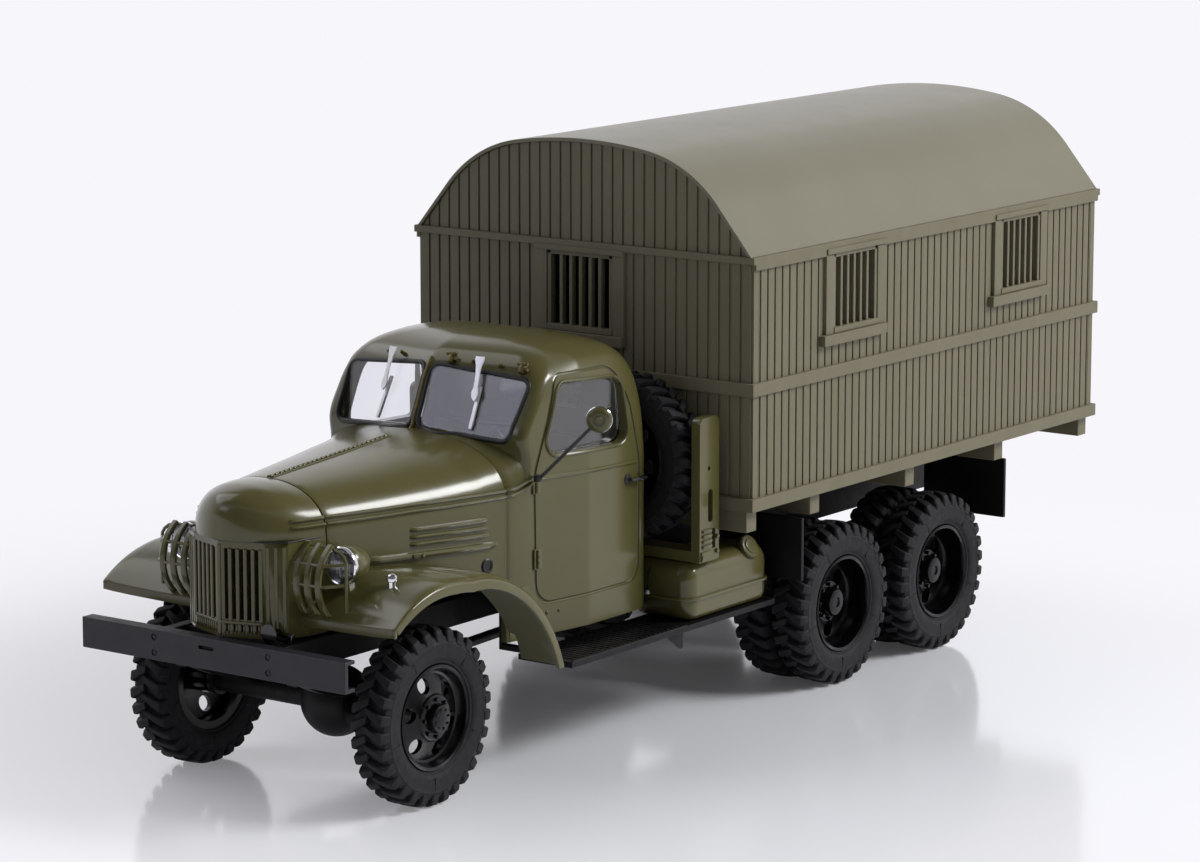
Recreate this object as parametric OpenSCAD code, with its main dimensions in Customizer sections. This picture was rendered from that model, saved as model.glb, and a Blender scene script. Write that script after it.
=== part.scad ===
// Scale model of a six-wheel-drive army van truck, 1:43, in millimetres.
// Lengths along the truck (y) are measured back from the front axle until placed() sets the
// truck about the middle of its length. +X is the truck's left side and +Z is up.

/* [Wheels and axles] */
// Front axle to first rear axle
wheelbase = 85.2; // [82:0.1:90]
// First rear axle to second rear axle
bogie_spacing = 26.3; // [25:0.1:30]
// Tyre radius to the lugs' tips
tyre_r = 11.5; // [11:0.1:12]
// Tyre width
tyre_w = 5.4; // [4.5:0.1:6]
// Radius of the tyre's bead and of the rim's flange
rim_r = 6.9; // [6.4:0.1:7.2]
// Distance between the front tyres' centres
front_track = 36.8; // [35:0.1:38]
// Distance between the outer rear tyres' centres
twin_track = 48.6; // [47:0.1:50]
// Distance between the two tyres of a twin wheel
twin_pitch = 6.5; // [6.3:0.1:7]
// Radius of the spindle that a wheel turns on
spindle_r = 0.9; // [0.7:0.05:1.1]
// Radial clearance of a wheel on its spindle
spindle_clear = 0.06; // [0.03:0.01:0.1]

/* [Chassis] */
// Front axle to the bumper's face
front_overhang = 19; // [18:0.1:22]
// Underside of the frame rails
frame_z = 18.6; // [18.2:0.1:19]
// Height of the frame rails
frame_h = 3.6; // [3:0.1:4]
// Width over the frame rails
frame_w = 20; // [19:0.1:20.5]
// Thickness of a frame rail
rail_t = 1.6; // [1:0.1:2]
// Length of the bumper
bumper_l = 43.3; // [40:0.1:47]
// Height of the bumper
bumper_h = 4; // [3.5:0.1:4.6]
// Radius of the screw holes for a display base
screw_r = 1.1; // [0.8:0.05:1.4]

/* [Cab] */
// Half width of the cab over the doors
cab_half_w = 18.2; // [17.5:0.1:18.8]
// Front axle to the cowl seam
cowl_y = 21; // [20.5:0.1:21.5]
// Front axle to the cab's back
cab_back_y = 50.5; // [49.5:0.1:50.6]
// Underside of the door sills
cab_z = 16.5; // [16:0.1:17.5]
// Thickness of the cab's walls
cab_t = 1.1; // [0.8:0.1:1.3]
// Thickness of the panes
pane_t = 0.4; // [0.3:0.05:0.6]

/* [Van body] */
// Width of the van over its walls
van_w = 57; // [55:0.5:60]
// Front axle to the van's front wall
van_y = 59; // [58.6:0.1:61]
// Length of the van over its walls
van_l = 92.2; // [90:0.1:96]
// Underside of the van's walls
van_z = 29.1; // [28.6:0.1:30]
// Height of the van's side walls
van_h = 34.7; // [33:0.1:37]
// Thickness of the van's walls
wall_t = 1.4; // [1.2:0.1:1.8]
// Thickness of the roof
roof_t = 1; // [0.8:0.1:1.4]
// Pitch of the wall boards
board_pitch = 1.77; // [1.5:0.01:2.2]
// Depth of the grooves between boards
groove_d = 0.25; // [0.15:0.05:0.4]
// Depth of the belts that run round the walls
belt_d = 0.5; // [0.3:0.05:0.7]

/* [Hidden] */
$fn = 48;

olive = [0.30, 0.29, 0.16];
van_olive = [0.36, 0.35, 0.24];
black = [0.06, 0.06, 0.07];
silver = [0.8, 0.8, 0.82];
glass = [0.6, 0.65, 0.7, 0.4];

// Clearance between pieces that only touch
touch = 0.05;
mid_y = wheelbase;
rear_y = wheelbase + bogie_spacing;
frame_top = frame_z + frame_h;
van_back_y = van_y + van_l;
overall_l = front_overhang + van_back_y + belt_d;
eave_z = van_z + van_h;
bumper_z = frame_z - (bumper_h - frame_h) / 2;

// Helpers

// Puts a piece that was drawn from the front axle about the middle of the truck's length
module placed() translate([0, front_overhang - overall_l / 2, 0]) children();

// A smooth shell kept as one facetted body
module one_mesh() resize([0, 0, 0]) children();

// The children and their mirror image on the right side
module both_sides() {
    children();
    mirror([1, 0, 0]) children();
}

// A box from its lowest and highest corners
module box(a, b) translate(a) cube(b - a);

// A round bar from a to b
module rod(a, b, r) {
    d = b - a;
    translate(a) rotate([0, acos(d.z / norm(d)), atan2(d.y, d.x)]) cylinder(h = norm(d), r = r);
}

// A round bar along a row of points
module bent_rod(pts, r) for (i = [0 : len(pts) - 2]) rod(pts[i], pts[i + 1], r);

function unit(v) = v / norm(v);

// Points of the round corner b between a and c
function corner_arc(a, b, c, r, n) =
    let (u = unit(a - b), v = unit(c - b), half = acos(u * v) / 2)
    let (o = b + unit(u + v) * r / sin(half), p = b + u * r / tan(half), q = b + v * r / tan(half))
    let (w = 180 - 2 * half)
    [for (i = [0 : n]) w < 1 ? b + (u * (n - 2 * i) / n) * r / 10 :
        o + (sin(w * (1 - i / n)) * (p - o) + sin(w * i / n) * (q - o)) / sin(w)];

// A polygon with each corner rounded to its own radius
function rounded(pts, radii, n = 4) =
    let (k = len(pts))
    [for (i = [0 : k - 1]) each corner_arc(pts[(i + k - 1) % k], pts[i], pts[(i + 1) % k], radii[i], n)];

// A solid through rings of points; each ring runs anticlockwise seen from the last ring's side
module loft(rings) {
    n = len(rings[0]);
    m = len(rings);
    polyhedron(
        points = [for (ring = rings) each ring],
        faces = concat(
            [[for (j = [0 : n - 1]) j]],
            [for (i = [0 : m - 2], j = [0 : n - 1])
                [i * n + j, (i + 1) * n + j, (i + 1) * n + (j + 1) % n, i * n + (j + 1) % n]],
            [[for (j = [n - 1 : -1 : 0]) (m - 1) * n + j]]
        ),
        convexity = 6
    );
}

// Wheels

hub_r = 2.1;
rim_lip = 0.5;
wheel_bore_r = spindle_r + spindle_clear;
tyre_bead_w = tyre_w - 1.2;

// A cross-country tyre has a row of lugs on each side, set off by half a pitch.
// Each lug has two tips on the shoulder and runs to one corner of the tread's middle.
lug_count = 30;
lug_pitch_a = 360 / lug_count;
lug_half_a = lug_pitch_a * 0.27;
lug_depth = 1.2;
lug_tip_in = 0.4;
lug_tip_drop = 0.2;
// How far the lugs of the outer and of the inner side trail behind the middle's corners
lug_lean_a = [lug_pitch_a * 0.75, lug_pitch_a * 0.25];
// Two lugs share one corner of the bore, whose flats touch the rim
bore_corners = lug_count / 2;
bore_corner_r = rim_r / cos(180 / bore_corners);

// A tyre's point at angle a about the X axis, from the top towards the rear
function tyre_point(x, r, a) = [x, r * sin(a), r * cos(a)];

// Corners of one side's shoulder: each lug's two tips, then the foot of the groove behind it
function shoulder_points(side, lean) = [
    for (i = [0 : lug_count - 1], k = [-1, 1, 2])
        let (a = i * lug_pitch_a - lean)
        k < 2 ? tyre_point(side * (tyre_w / 2 - lug_tip_in), tyre_r - lug_tip_drop, a + k * lug_half_a) :
            tyre_point(side * tyre_w / 2, tyre_r - lug_depth, a + lug_pitch_a / 2)
];

function bore_points(side, lean) = [
    for (k = [0 : bore_corners - 1])
        tyre_point(side * tyre_bead_w / 2, bore_corner_r, (2 * k + 1) * lug_pitch_a - lean)
];

// Faces of the outer side, from the first index of its shoulder, of the middle and of its bore
function side_faces(shoulder, middle, bore) =
    let (tips = 3 * lug_count)
    concat(
        // The tread: each lug's top, then the groove behind it
        [for (i = [0 : lug_count - 1])
            let (lead = shoulder + 3 * i, next = shoulder + (3 * i + 3) % tips)
            let (m = middle + i, m_next = middle + (i + 1) % lug_count)
            each [[lead, m, lead + 1], [lead + 1, m, lead + 2], [lead + 2, m, m_next], [lead + 2, m_next, next]]],
        // The sidewall: a fan over two lugs from each corner of the bore
        [for (k = [0 : bore_corners - 1], j = [0 : 5])
            [bore + k, shoulder + 6 * k + j, shoulder + (6 * k + j + 1) % tips]],
        [for (k = [0 : bore_corners - 1])
            [bore + k, shoulder + (6 * k + 6) % tips, bore + (k + 1) % bore_corners]]
    );

function turned_over(faces) = [for (f = faces) [f[2], f[1], f[0]]];

// A tyre about the X axis
module tyre() one_mesh() {
    tips = 3 * lug_count;
    bore = 2 * tips + lug_count;
    polyhedron(
        points = concat(
            shoulder_points(1, lug_lean_a[0]), shoulder_points(-1, lug_lean_a[1]),
            [for (i = [0 : lug_count - 1]) tyre_point(0, tyre_r, i * lug_pitch_a)],
            bore_points(1, lug_lean_a[0]), bore_points(-1, lug_lean_a[1])
        ),
        faces = concat(
            side_faces(0, 2 * tips, bore),
            turned_over(side_faces(tips, 2 * tips, bore + bore_corners)),
            [for (k = [0 : bore_corners - 1])
                let (outer = bore + k, outer_next = bore + (k + 1) % bore_corners)
                each [
                    [outer, outer_next, outer + bore_corners],
                    [outer + bore_corners, outer_next, outer_next + bore_corners]
                ]]
        )
    );
}

// Round holes of a wheel disc, about the X axis
module disc_holes(count, r, pitch_r)
    for (i = [0 : count - 1]) rotate([360 / count * i, 0, 0])
        translate([-tyre_w, 0, pitch_r]) rotate([0, 90, 0]) cylinder(h = 2 * tyre_w, r = r);

// A wheel's rim and disc about the X axis, its outer face towards +X.
// dish is how far the disc lies outside the middle of the tyre.
module rim_disc(dish, hub_out, hub_in) {
    disc_t = 0.8;
    disc_r = rim_r - 0.9;
    difference() {
        rotate([0, 90, 0]) rotate_extrude($fn = 72) union() {
            polygon([
                [rim_r - 1, -tyre_bead_w / 2], [rim_r - touch, -tyre_bead_w / 2],
                [rim_r - touch, tyre_bead_w / 2 - rim_lip], [rim_r - touch, tyre_bead_w / 2],
                [rim_r - 1, tyre_bead_w / 2]
            ]);
            translate([wheel_bore_r, dish - disc_t]) square([disc_r - wheel_bore_r + 0.2, disc_t]);
            translate([wheel_bore_r, -hub_in]) square([hub_r - wheel_bore_r, hub_in + hub_out]);
        }
        disc_holes(6, 0.95, (disc_r + hub_r) / 2);
    }
}

front_x = front_track / 2;
twin_outer_x = twin_track / 2;
twin_inner_x = twin_outer_x - twin_pitch;
front_hub_out = 3.4;
twin_hub_out = 1.2;

module single_tyre() translate([front_x, 0, tyre_r]) tyre();
module single_rim() translate([front_x, 0, tyre_r]) rim_disc(dish = 1.4, hub_out = front_hub_out, hub_in = 2.2);

module twin_tyres(y) for (x = [twin_inner_x, twin_outer_x]) translate([x, y, tyre_r]) tyre();

// The twin's two discs share one hub tube
module twin_rims(y) {
    translate([twin_outer_x, y, tyre_r]) rim_disc(dish = -0.9, hub_out = twin_hub_out, hub_in = twin_pitch);
    translate([twin_inner_x, y, tyre_r]) mirror([1, 0, 0]) rim_disc(dish = -0.9, hub_out = 2, hub_in = twin_pitch / 2);
}

// Axles and suspension

spring_x = frame_w / 2 - rail_t / 2;
spring_w = 1.6;
front_tube_r = 1.6;
rear_tube_r = 1.7;
housing_r = 4.7;
// The housings clear the springs
housing_x = spring_x - spring_w / 2 - housing_r * 0.75 - 0.3;
knuckle_gap = 0.4;

// An axle beam with its round differential housing, knuckles and spindles
module axle(y, tube_r, diff_x, hub_face, spindle_end) {
    translate([0, y, tyre_r]) {
        rotate([0, 90, 0]) cylinder(h = 2 * hub_face, r = tube_r, center = true);
        translate([diff_x, 0, 0]) intersection() {
            sphere(r = housing_r);
            rotate([0, 90, 0]) cylinder(h = housing_r * 1.5, r = housing_r, center = true);
        }
        rotate([0, 90, 0]) cylinder(h = 2 * spindle_end, r = spindle_r, center = true);
        for (s = [-1, 1]) translate([s * (hub_face - 0.5), 0, 0]) rotate([0, 90, 0])
            cylinder(h = 1, r = tube_r + 0.5, center = true);
    }
}

module front_axle() color(black)
    axle(0, front_tube_r, housing_x, front_x - 2.2 - knuckle_gap, front_x + front_hub_out - 0.4);

module rear_axles() color(black) {
    axle(mid_y, rear_tube_r, housing_x, twin_inner_x - 2 - knuckle_gap, twin_outer_x + twin_hub_out - 0.4);
    axle(rear_y, rear_tube_r, -housing_x, twin_inner_x - 2 - knuckle_gap, twin_outer_x + twin_hub_out - 0.4);
}

spring_t = 1.2;
front_spring_half_l = 13.5;
rear_spring_half_l = bogie_spacing / 2 - 0.6;

// A bowed leaf pack in the y-z plane whose middle lies at height z0 and whose ends lie at z1
module leaf_pack(x, y, half_l, z0, z1, t) {
    rise = z1 - z0;
    arc_r = (half_l * half_l + rise * rise) / (2 * abs(rise));
    up = sign(rise);
    translate([x - spring_w / 2, y, 0]) rotate([90, 0, 90]) linear_extrude(spring_w) intersection() {
        translate([0, z0 + up * arc_r]) difference() {
            circle(r = arc_r + (up > 0 ? 0 : t), $fn = 96);
            circle(r = arc_r - (up > 0 ? t : 0), $fn = 96);
        }
        translate([-half_l, min(z0, z1) - 1]) square([2 * half_l, abs(rise) + t + 2]);
    }
}

module leaf_springs() color(black) both_sides() {
    front_z = tyre_r + front_tube_r + touch;
    front_end_z = frame_z - 1.6;
    leaf_pack(spring_x, 0, front_spring_half_l, front_z, front_end_z, spring_t);
    for (s = [-1, 1])
        box([spring_x - spring_w / 2, s * front_spring_half_l - 0.8, front_end_z - 0.3],
            [spring_x + spring_w / 2, s * front_spring_half_l + 0.8, frame_z - touch]);
    rear_z = tyre_r + rear_tube_r + touch;
    trunnion_y = mid_y + bogie_spacing / 2;
    leaf_pack(spring_x, trunnion_y, rear_spring_half_l, frame_z - 3, rear_z, 2);
    box([spring_x - spring_w / 2, trunnion_y - 3, frame_z - 3],
        [spring_x + spring_w / 2, trunnion_y + 3, frame_z - touch]);
}

// Frame

rail_front_y = -front_overhang + 2.05;
sleeper_y = van_y - 0.5;
bearer_z = van_z - 3;

// Each rail carries a timber sleeper under the van
module frame_rails() color(black) both_sides() {
    box([frame_w / 2 - rail_t, rail_front_y, frame_z], [frame_w / 2, van_back_y - 2, frame_top]);
    box([frame_w / 2 - rail_t, sleeper_y, frame_top - 0.1], [frame_w / 2, van_back_y - 2, bearer_z - touch]);
}

// Crossmembers: [y, width]; the first and the last have the holes for the display base's screws
member_table = [[-11.5, 4.4], [36, 2], [66, 2], [mid_y + bogie_spacing / 2, 3], [138, 4.4]];
screw_members = [0, 4];
member_z = frame_z + 0.2;
member_h = 3.2;

module crossmembers() color(black) for (i = [0 : len(member_table) - 1]) {
    y = member_table[i][0];
    w = member_table[i][1];
    half = frame_w / 2 - rail_t - touch;
    difference() {
        box([-half, y - w / 2, member_z], [half, y + w / 2, member_z + member_h]);
        if (len(search(i, screw_members)) > 0)
            translate([0, y, member_z - 1]) cylinder(h = member_h + 2, r = screw_r);
    }
}

// An open channel with its bolts' heads
module bumper() color(black) {
    web_t = 0.7;
    depth = 2;
    lip = 0.5;
    half = bumper_l / 2;
    y0 = -front_overhang;
    difference() {
        box([-half, y0, bumper_z], [half, y0 + depth, bumper_z + bumper_h]);
        box([-half - 1, y0 + web_t, bumper_z + lip], [half + 1, y0 + depth + 1, bumper_z + bumper_h - lip]);
    }
}

// Running gear below the frame

sump_z = frame_z - 1.4;
sump_w = 9;
sump_y = -4.5;
sump_l = 21.5;
gearbox_r = 2.8;
gearbox_l = 15;
shaft_r = 0.7;
transfer_y = cab_back_y - 3.5;
transfer_l = 9;
transfer_z = 12.6;
// Heights of the shafts at the transfer case, at the axle housings and over the first rear axle
shaft_z = 14.4;
shaft_end_z = tyre_r + 1.6;
through_shaft_x = -housing_x + 1.6;
through_shaft_z = tyre_r + housing_r + shaft_r + 0.1;

// Sump, gearbox, transfer case and propeller shafts are one moulding
module drivetrain() color(black) {
    gearbox_y = sump_y + sump_l - 1;
    gearbox_z = cab_floor_z - gearbox_r - 0.1;
    front_end = transfer_y + 1;
    back_end = transfer_y + transfer_l - 1;
    box([-sump_w / 2, sump_y, sump_z], [sump_w / 2, sump_y + sump_l, frame_top + 2]);
    translate([0, gearbox_y, gearbox_z]) rotate([-90, 0, 0]) cylinder(h = gearbox_l, r1 = gearbox_r, r2 = gearbox_r * 0.8);
    rod([0, gearbox_y + gearbox_l - 1, frame_z - 0.9], [0, front_end, frame_z - 1.9], shaft_r);
    box([-housing_x, transfer_y, transfer_z], [housing_x + 1.6, transfer_y + transfer_l, frame_z - 0.4]);
    rod([housing_x, front_end, shaft_z], [housing_x, housing_r, shaft_end_z], shaft_r);
    rod([housing_x, back_end, shaft_z], [housing_x, mid_y - housing_r, shaft_end_z], shaft_r);
    rod([through_shaft_x, back_end, through_shaft_z], [through_shaft_x, mid_y + 4, through_shaft_z], shaft_r);
    rod([through_shaft_x, mid_y + 3.8, through_shaft_z], [-housing_x, rear_y - housing_r, shaft_end_z], shaft_r);
}

pipe_r = 0.6;
muffler_r = 1.6;
muffler_l = 18;
muffler = [-(frame_w / 2 - rail_t - muffler_r + 0.4), cab_back_y - 10.5, 15.2];

module exhaust() color(black) one_mesh($fn = 20) {
    bent_rod([[-sump_w / 2 - 1.4, sump_y + 16, frame_z - 1.2], muffler + [0.6, -12, 0.6], muffler,
        muffler + [0, muffler_l + 10, 0]], pipe_r);
    translate(muffler) rotate([-90, 0, 0]) cylinder(h = muffler_l, r = muffler_r);
}

board_z = 13.7;
board_t = 0.8;
board_in_x = 15.5;
board_out_x = 24.3;
board_y = cowl_y + 2.9;
tank_y = cab_back_y + 0.4;
tank_flange = 0.3;
// The tank ends ahead of the first rear wheel
tank_l = mid_y - tyre_r - 3.1 - tank_y;
board_end_y = tank_y + tank_l + 0.6;

// Each board hangs from the frame on three angle brackets
module running_boards() color(black) both_sides() {
    box([board_in_x, board_y, board_z], [board_out_x, board_end_y, board_z + board_t]);
    for (y = [board_y + 3, cab_back_y - 6, board_end_y - 3.4]) {
        box([frame_w / 2 + touch, y, board_z], [board_in_x + 0.1, y + 1, board_z + board_t]);
        box([frame_w / 2 + touch, y, board_z], [frame_w / 2 + touch + 0.6, y + 1, frame_top - 0.6]);
    }
}

tank_x = 14;
tank_out_x = 23.9;
tank_z = board_z + board_t + touch;
tank_h = 8.1;

// One ring of the tank, inset from its outline
function tank_ring(y, inset) =
    let (x0 = tank_x + inset, x1 = tank_out_x - inset, z0 = tank_z + inset, z1 = tank_z + tank_h - inset)
    [for (p = rounded([[x1, z0], [x0, z0], [x0, z1], [x1, z1]], [0.8, 0.8, 1.8, 1.8])) [p.x, y, p.y]];

// A pressed tank with round ends, a seam flange and a filler neck that leans outwards
module fuel_tank() one_mesh() {
    seam_z = tank_z + tank_h * 0.36;
    // Ring columns: distance from the tank's end, inset
    ends = [[0, 1.1], [0.35, 0.35], [1.1, 0]];
    loft(concat(
        [for (e = ends) tank_ring(tank_y + e[0], e[1])],
        [for (i = [2 : -1 : 0]) tank_ring(tank_y + tank_l - ends[i][0], ends[i][1])]
    ));
    box([tank_x - tank_flange, tank_y - tank_flange, seam_z],
        [tank_out_x + tank_flange, tank_y + tank_l + tank_flange, seam_z + 0.4]);
    filler = [tank_out_x - 4.6, tank_y + tank_l - 2.6, tank_z + tank_h - 1];
    rod(filler, filler + [3, 0, 2.1], 1.2, $fn = 20);
}

module fuel_tanks() color(olive) both_sides() fuel_tank();

// Spare wheels stand across the truck between the cab and the van

spare_y = (cab_back_y + van_y - belt_d) / 2 - 0.7;
spare_x = tyre_r + 0.25;
spare_z = frame_top + 2.2 + tyre_r;
post_x = spare_x + tyre_r + 0.2;
post_t = 1.4;
post_w = 4.6;
post_back = 0.5;
post_top_z = 42.5;
carrier_z = frame_top + 0.5;
carrier_h = 1.6;

module at_spare(side) translate([side * spare_x, spare_y, spare_z]) rotate([0, 0, -90]) children();

module spare_tyres() color(black) for (s = [-1, 1]) at_spare(s) tyre();
module spare_rims() color(black) for (s = [-1, 1]) at_spare(s) rim_disc(dish = 1.4, hub_out = 1.6, hub_in = 1.4);

// A cross bar on the frame with an upright at each end
module spare_carrier() color(olive) {
    foot_z = carrier_z + carrier_h;
    box([-post_x - post_t, spare_y - post_w / 2 + 0.3, carrier_z],
        [post_x + post_t, spare_y + post_w / 2 - 0.3, foot_z]);
    both_sides() {
        box([frame_w / 2 - rail_t, spare_y - 1, frame_top + touch], [frame_w / 2, spare_y + 1, carrier_z + 0.1]);
        difference() {
            box([post_x, spare_y + post_back - post_w / 2, carrier_z],
                [post_x + post_t, spare_y + post_back + post_w / 2, post_top_z]);
            box([post_x - 1, spare_y - 0.6, foot_z + 0.8], [post_x + post_t + 1, spare_y + 0.6, foot_z + 3]);
            translate([post_x - 1, spare_y, post_top_z - 7]) rotate([0, 90, 0]) cylinder(h = post_t + 2, r = 0.3);
        }
    }
}

flap_x = twin_inner_x - tyre_w / 2 - 1;
flap_out_x = van_w / 2 - 0.5;
flap_z = 17.2;
flap_t = 0.6;
flap_arm_h = 1.6;
// A flap hangs ahead of the first rear wheel and one behind the second
flap_ys = [mid_y - tyre_r - 1.6, rear_y + tyre_r + 3.4];

// Each flap hangs from an arm on the frame's side, below the bearers
module mud_flaps() color(black) both_sides() for (y = flap_ys) {
    box([flap_x, y, flap_z], [flap_out_x, y + flap_t, bearer_z - touch]);
    box([frame_w / 2 + touch, y, bearer_z - touch - flap_arm_h], [flap_x + 0.1, y + flap_t, bearer_z - touch]);
}

// Bonnet and cab

bonnet_base_z = 34.8;
bonnet_low_z = 25;
bonnet_t = 1;
nose_y = -7.5;
bonnet_fullness = 2.2;
crown_steps = 16;

// Sections of the bonnet and of its nose: [y, half width, top]
bonnet_table = [[nose_y, 9.45, 41.1], [0, 11.4, 41.6], [7, 13.1, 42.1], [14, 14.7, 42.7], [cowl_y, 15.95, 43.2]];
nose_table = [
    [-17.3, 0.9, 37.9], [-17.05, 2.1, 38.8], [-16.5, 3.5, 39.6], [-15.6, 5, 40.3], [-14.2, 6.5, 40.8],
    [-12.2, 7.9, 41.15], [-10, 8.75, 41.2], [nose_y, 9.45, 41.1]
];

// A section's crown from its left side to its right one
function crown(y, w, base, top) = [for (i = [0 : crown_steps])
    let (a = 180 * i / crown_steps, e = 2 / bonnet_fullness)
    [sign(cos(a)) * w * pow(abs(cos(a)), e), y, base + (top - base) * pow(sin(a), e)]];

// A whole section down to its lower edge, anticlockwise seen from the back
function bonnet_ring(y, w, top, low) = let (c = crown(y, w, bonnet_base_z, top))
    concat([[w, y, low], [-w, y, low]], [for (i = [crown_steps : -1 : 0]) c[i]]);

module bonnet() color(olive) one_mesh() {
    difference() {
        loft([for (s = bonnet_table) bonnet_ring(s[0], s[1], s[2], bonnet_low_z)]);
        loft([for (i = [0 : len(bonnet_table) - 1]) let (s = bonnet_table[i])
            bonnet_ring(s[0] + (i == 0 ? -1 : i == len(bonnet_table) - 1 ? 1 : 0), s[1] - bonnet_t, s[2] - bonnet_t,
                bonnet_low_z - 1)]);
    }
    both_sides() louvres();
}

// Half width of the bonnet's side at y
function bonnet_half_w(y) = lookup(y, [for (s = bonnet_table) [s[0], s[1]]]);

// Ribs on the bonnet's side: [height, first y, last y]
louvre_table = [[33.5, 5.5, 17.8], [32.6, 5.5, 18.2], [31.7, 5.5, 18.8], [30.4, -2, 19.6]];

module louvres() for (l = louvre_table)
    rod([bonnet_half_w(l[1]) - 0.05, l[1], l[0]], [bonnet_half_w(l[2]) - 0.05, l[2], l[0]], 0.3, $fn = 8);

module bonnet_nose() color(olive) one_mesh()
    loft([for (s = nose_table) let (c = crown(s[0], s[1], bonnet_base_z, s[2]))
        [for (i = [crown_steps : -1 : 0]) c[i]]]);

// Cab sections from the sills up: [z, front middle y, front corner y, front half width, side half width, back y,
// front corner radius, back corner radius]
cab_table = [
    [cab_z, cowl_y, cowl_y, 15.95, cab_half_w, cab_back_y, 0.6, 3],
    [bonnet_base_z, cowl_y, cowl_y, 15.95, cab_half_w, cab_back_y, 0.6, 3],
    [37.2, cowl_y + 0.2, cowl_y + 0.5, 16.2, cab_half_w, cab_back_y, 1, 3],
    [39.8, cowl_y + 0.3, cowl_y + 1.3, 16.4, cab_half_w - 0.1, cab_back_y, 1.4, 3.2],
    [42.6, cowl_y + 0.5, cowl_y + 2.8, 16.5, cab_half_w - 0.25, cab_back_y, 1.5, 3.4],
    [47, cowl_y + 2.2, cowl_y + 5, 16.6, cab_half_w - 0.7, cab_back_y - 0.3, 1.7, 4],
    [50, cowl_y + 3.5, cowl_y + 6.8, 16.3, cab_half_w - 1.3, cab_back_y - 1.2, 2.4, 4.6],
    [51.8, cowl_y + 4.7, cowl_y + 7.8, 14.9, cab_half_w - 2.3, cab_back_y - 2.4, 3.2, 5],
    [53, cowl_y + 6.2, cowl_y + 9.2, 13.2, cab_half_w - 4, cab_back_y - 4.2, 3.4, 5],
    [53.9, cowl_y + 8.4, cowl_y + 11, 10.6, cab_half_w - 6.8, cab_back_y - 6.8, 3.4, 5],
    [54.4, cowl_y + 11, cowl_y + 12.6, 7, cab_half_w - 10.6, cab_back_y - 9.6, 2.6, 3],
    [54.6, cowl_y + 13.4, cowl_y + 13.9, 2.6, 3, cab_back_y - 12.6, 0.8, 0.8]
];
cab_mid_y = 36;
cab_floor_z = frame_top + 0.6;
cab_floor_t = 0.8;

// One ring of the cab, inset by t on every side
function cab_ring(s, t, z) = let (
    pts = [
        [0, s[1] + t], [s[3] - t, s[2] + t], [s[4] - t, cab_mid_y], [s[4] - t, s[5] - t],
        [t - s[4], s[5] - t], [t - s[4], cab_mid_y], [t - s[3], s[2] + t]
    ],
    radii = [2, s[6], 6, max(s[7] - t, 0.5), max(s[7] - t, 0.5), 6, s[6]]
) [for (p = rounded(pts, radii, 5)) [p.x, p.y, z]];

// Cowl sections between the bonnet and the windscreen: [y, half width, top]
cowl_table = [[cowl_y, 15.95, 43.2], [cowl_y + 2, 16.3, 43.3], [cowl_y + 4.5, 16.6, 43.1], [cowl_y + 7, 16.6, 42]];

// Windows of the cab: corners, and the radius that rounds them
screen_pts = [[0.55, 43.4], [14.3, 42.5], [15, 50], [0.55, 51.3]];
door_pts = [[27, 40.4], [45, 39.9], [44, 48.6], [30.3, 49.4]];
rear_pts = [[-7, 42.5], [7, 42.5], [6.6, 48.5], [-6.6, 48.5]];

// A window's outline, inset by t
function window_pts(pts, r, t) = let (c = (pts[0] + pts[1] + pts[2] + pts[3]) / 4)
    rounded([for (p = pts) p + [sign(c.x - p.x), sign(c.y - p.y)] * t], [r, r, r, r]);

module screen_prism(t) translate([0, cowl_y + 12, 0]) rotate([90, 0, 0]) linear_extrude(14)
    polygon(window_pts(screen_pts, 1.2, t));
module door_prism(t) translate([cab_half_w - 5, 0, 0]) rotate([90, 0, 90]) linear_extrude(8)
    polygon(window_pts(door_pts, 2, t));
module rear_prism(t) translate([0, cab_back_y + 2, 0]) rotate([90, 0, 0]) linear_extrude(6)
    polygon(window_pts(rear_pts, 1.2, t));

module cab_shell() color(olive) one_mesh() {
    inner_rows = [0 : len(cab_table) - 3];
    under_half = cab_half_w - 3.2;
    difference() {
        union() {
            loft([for (s = cab_table) cab_ring(s, 0, s[0])]);
            loft([for (s = cowl_table) bonnet_ring(s[0], s[1], s[2], cab_z + 3)]);
        }
        loft([for (i = inner_rows) cab_ring(cab_table[i], cab_t, cab_table[i][0] - (i == 0 ? 1 : cab_t * 0.8))]);
        both_sides() {
            screen_prism(0);
            door_prism(0);
        }
        rear_prism(0);
        box([-under_half, cowl_y - 1, cab_z - 1], [under_half, cab_back_y + 1, cab_floor_z]);
    }
    box([-cab_half_w + 1.6, cowl_y + 0.9, cab_floor_z], [cab_half_w - 1.6, cab_back_y - 0.9, cab_floor_z + cab_floor_t]);
}

screen_foot_z = 43.4;
screen_lean = 21;
screen_turn = 10.5;

// The windscreen's two flat panes, the door panes and the rear pane
module cab_glass() color(glass) {
    both_sides() {
        intersection() {
            screen_prism(touch);
            translate([0, cowl_y + 0.9, screen_foot_z]) rotate([0, 0, screen_turn]) rotate([-screen_lean, 0, 0])
                translate([-2, 0, -4]) cube([20, pane_t, 16]);
        }
        intersection() {
            door_prism(touch);
            box([cab_half_w - 1.5 - pane_t, 20, 35], [cab_half_w - 1.5, 50, 55]);
        }
    }
    intersection() {
        rear_prism(touch);
        box([-10, cab_back_y - 0.7 - pane_t, 40], [10, cab_back_y - 0.7, 52]);
    }
}

seat_half_w = cab_half_w - 3.2;
seat_y = cab_back_y - 14.5;
seat_l = 10;
seat_h = 6;
seat_back_h = 16;
seat_back_t = 2.4;

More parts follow.
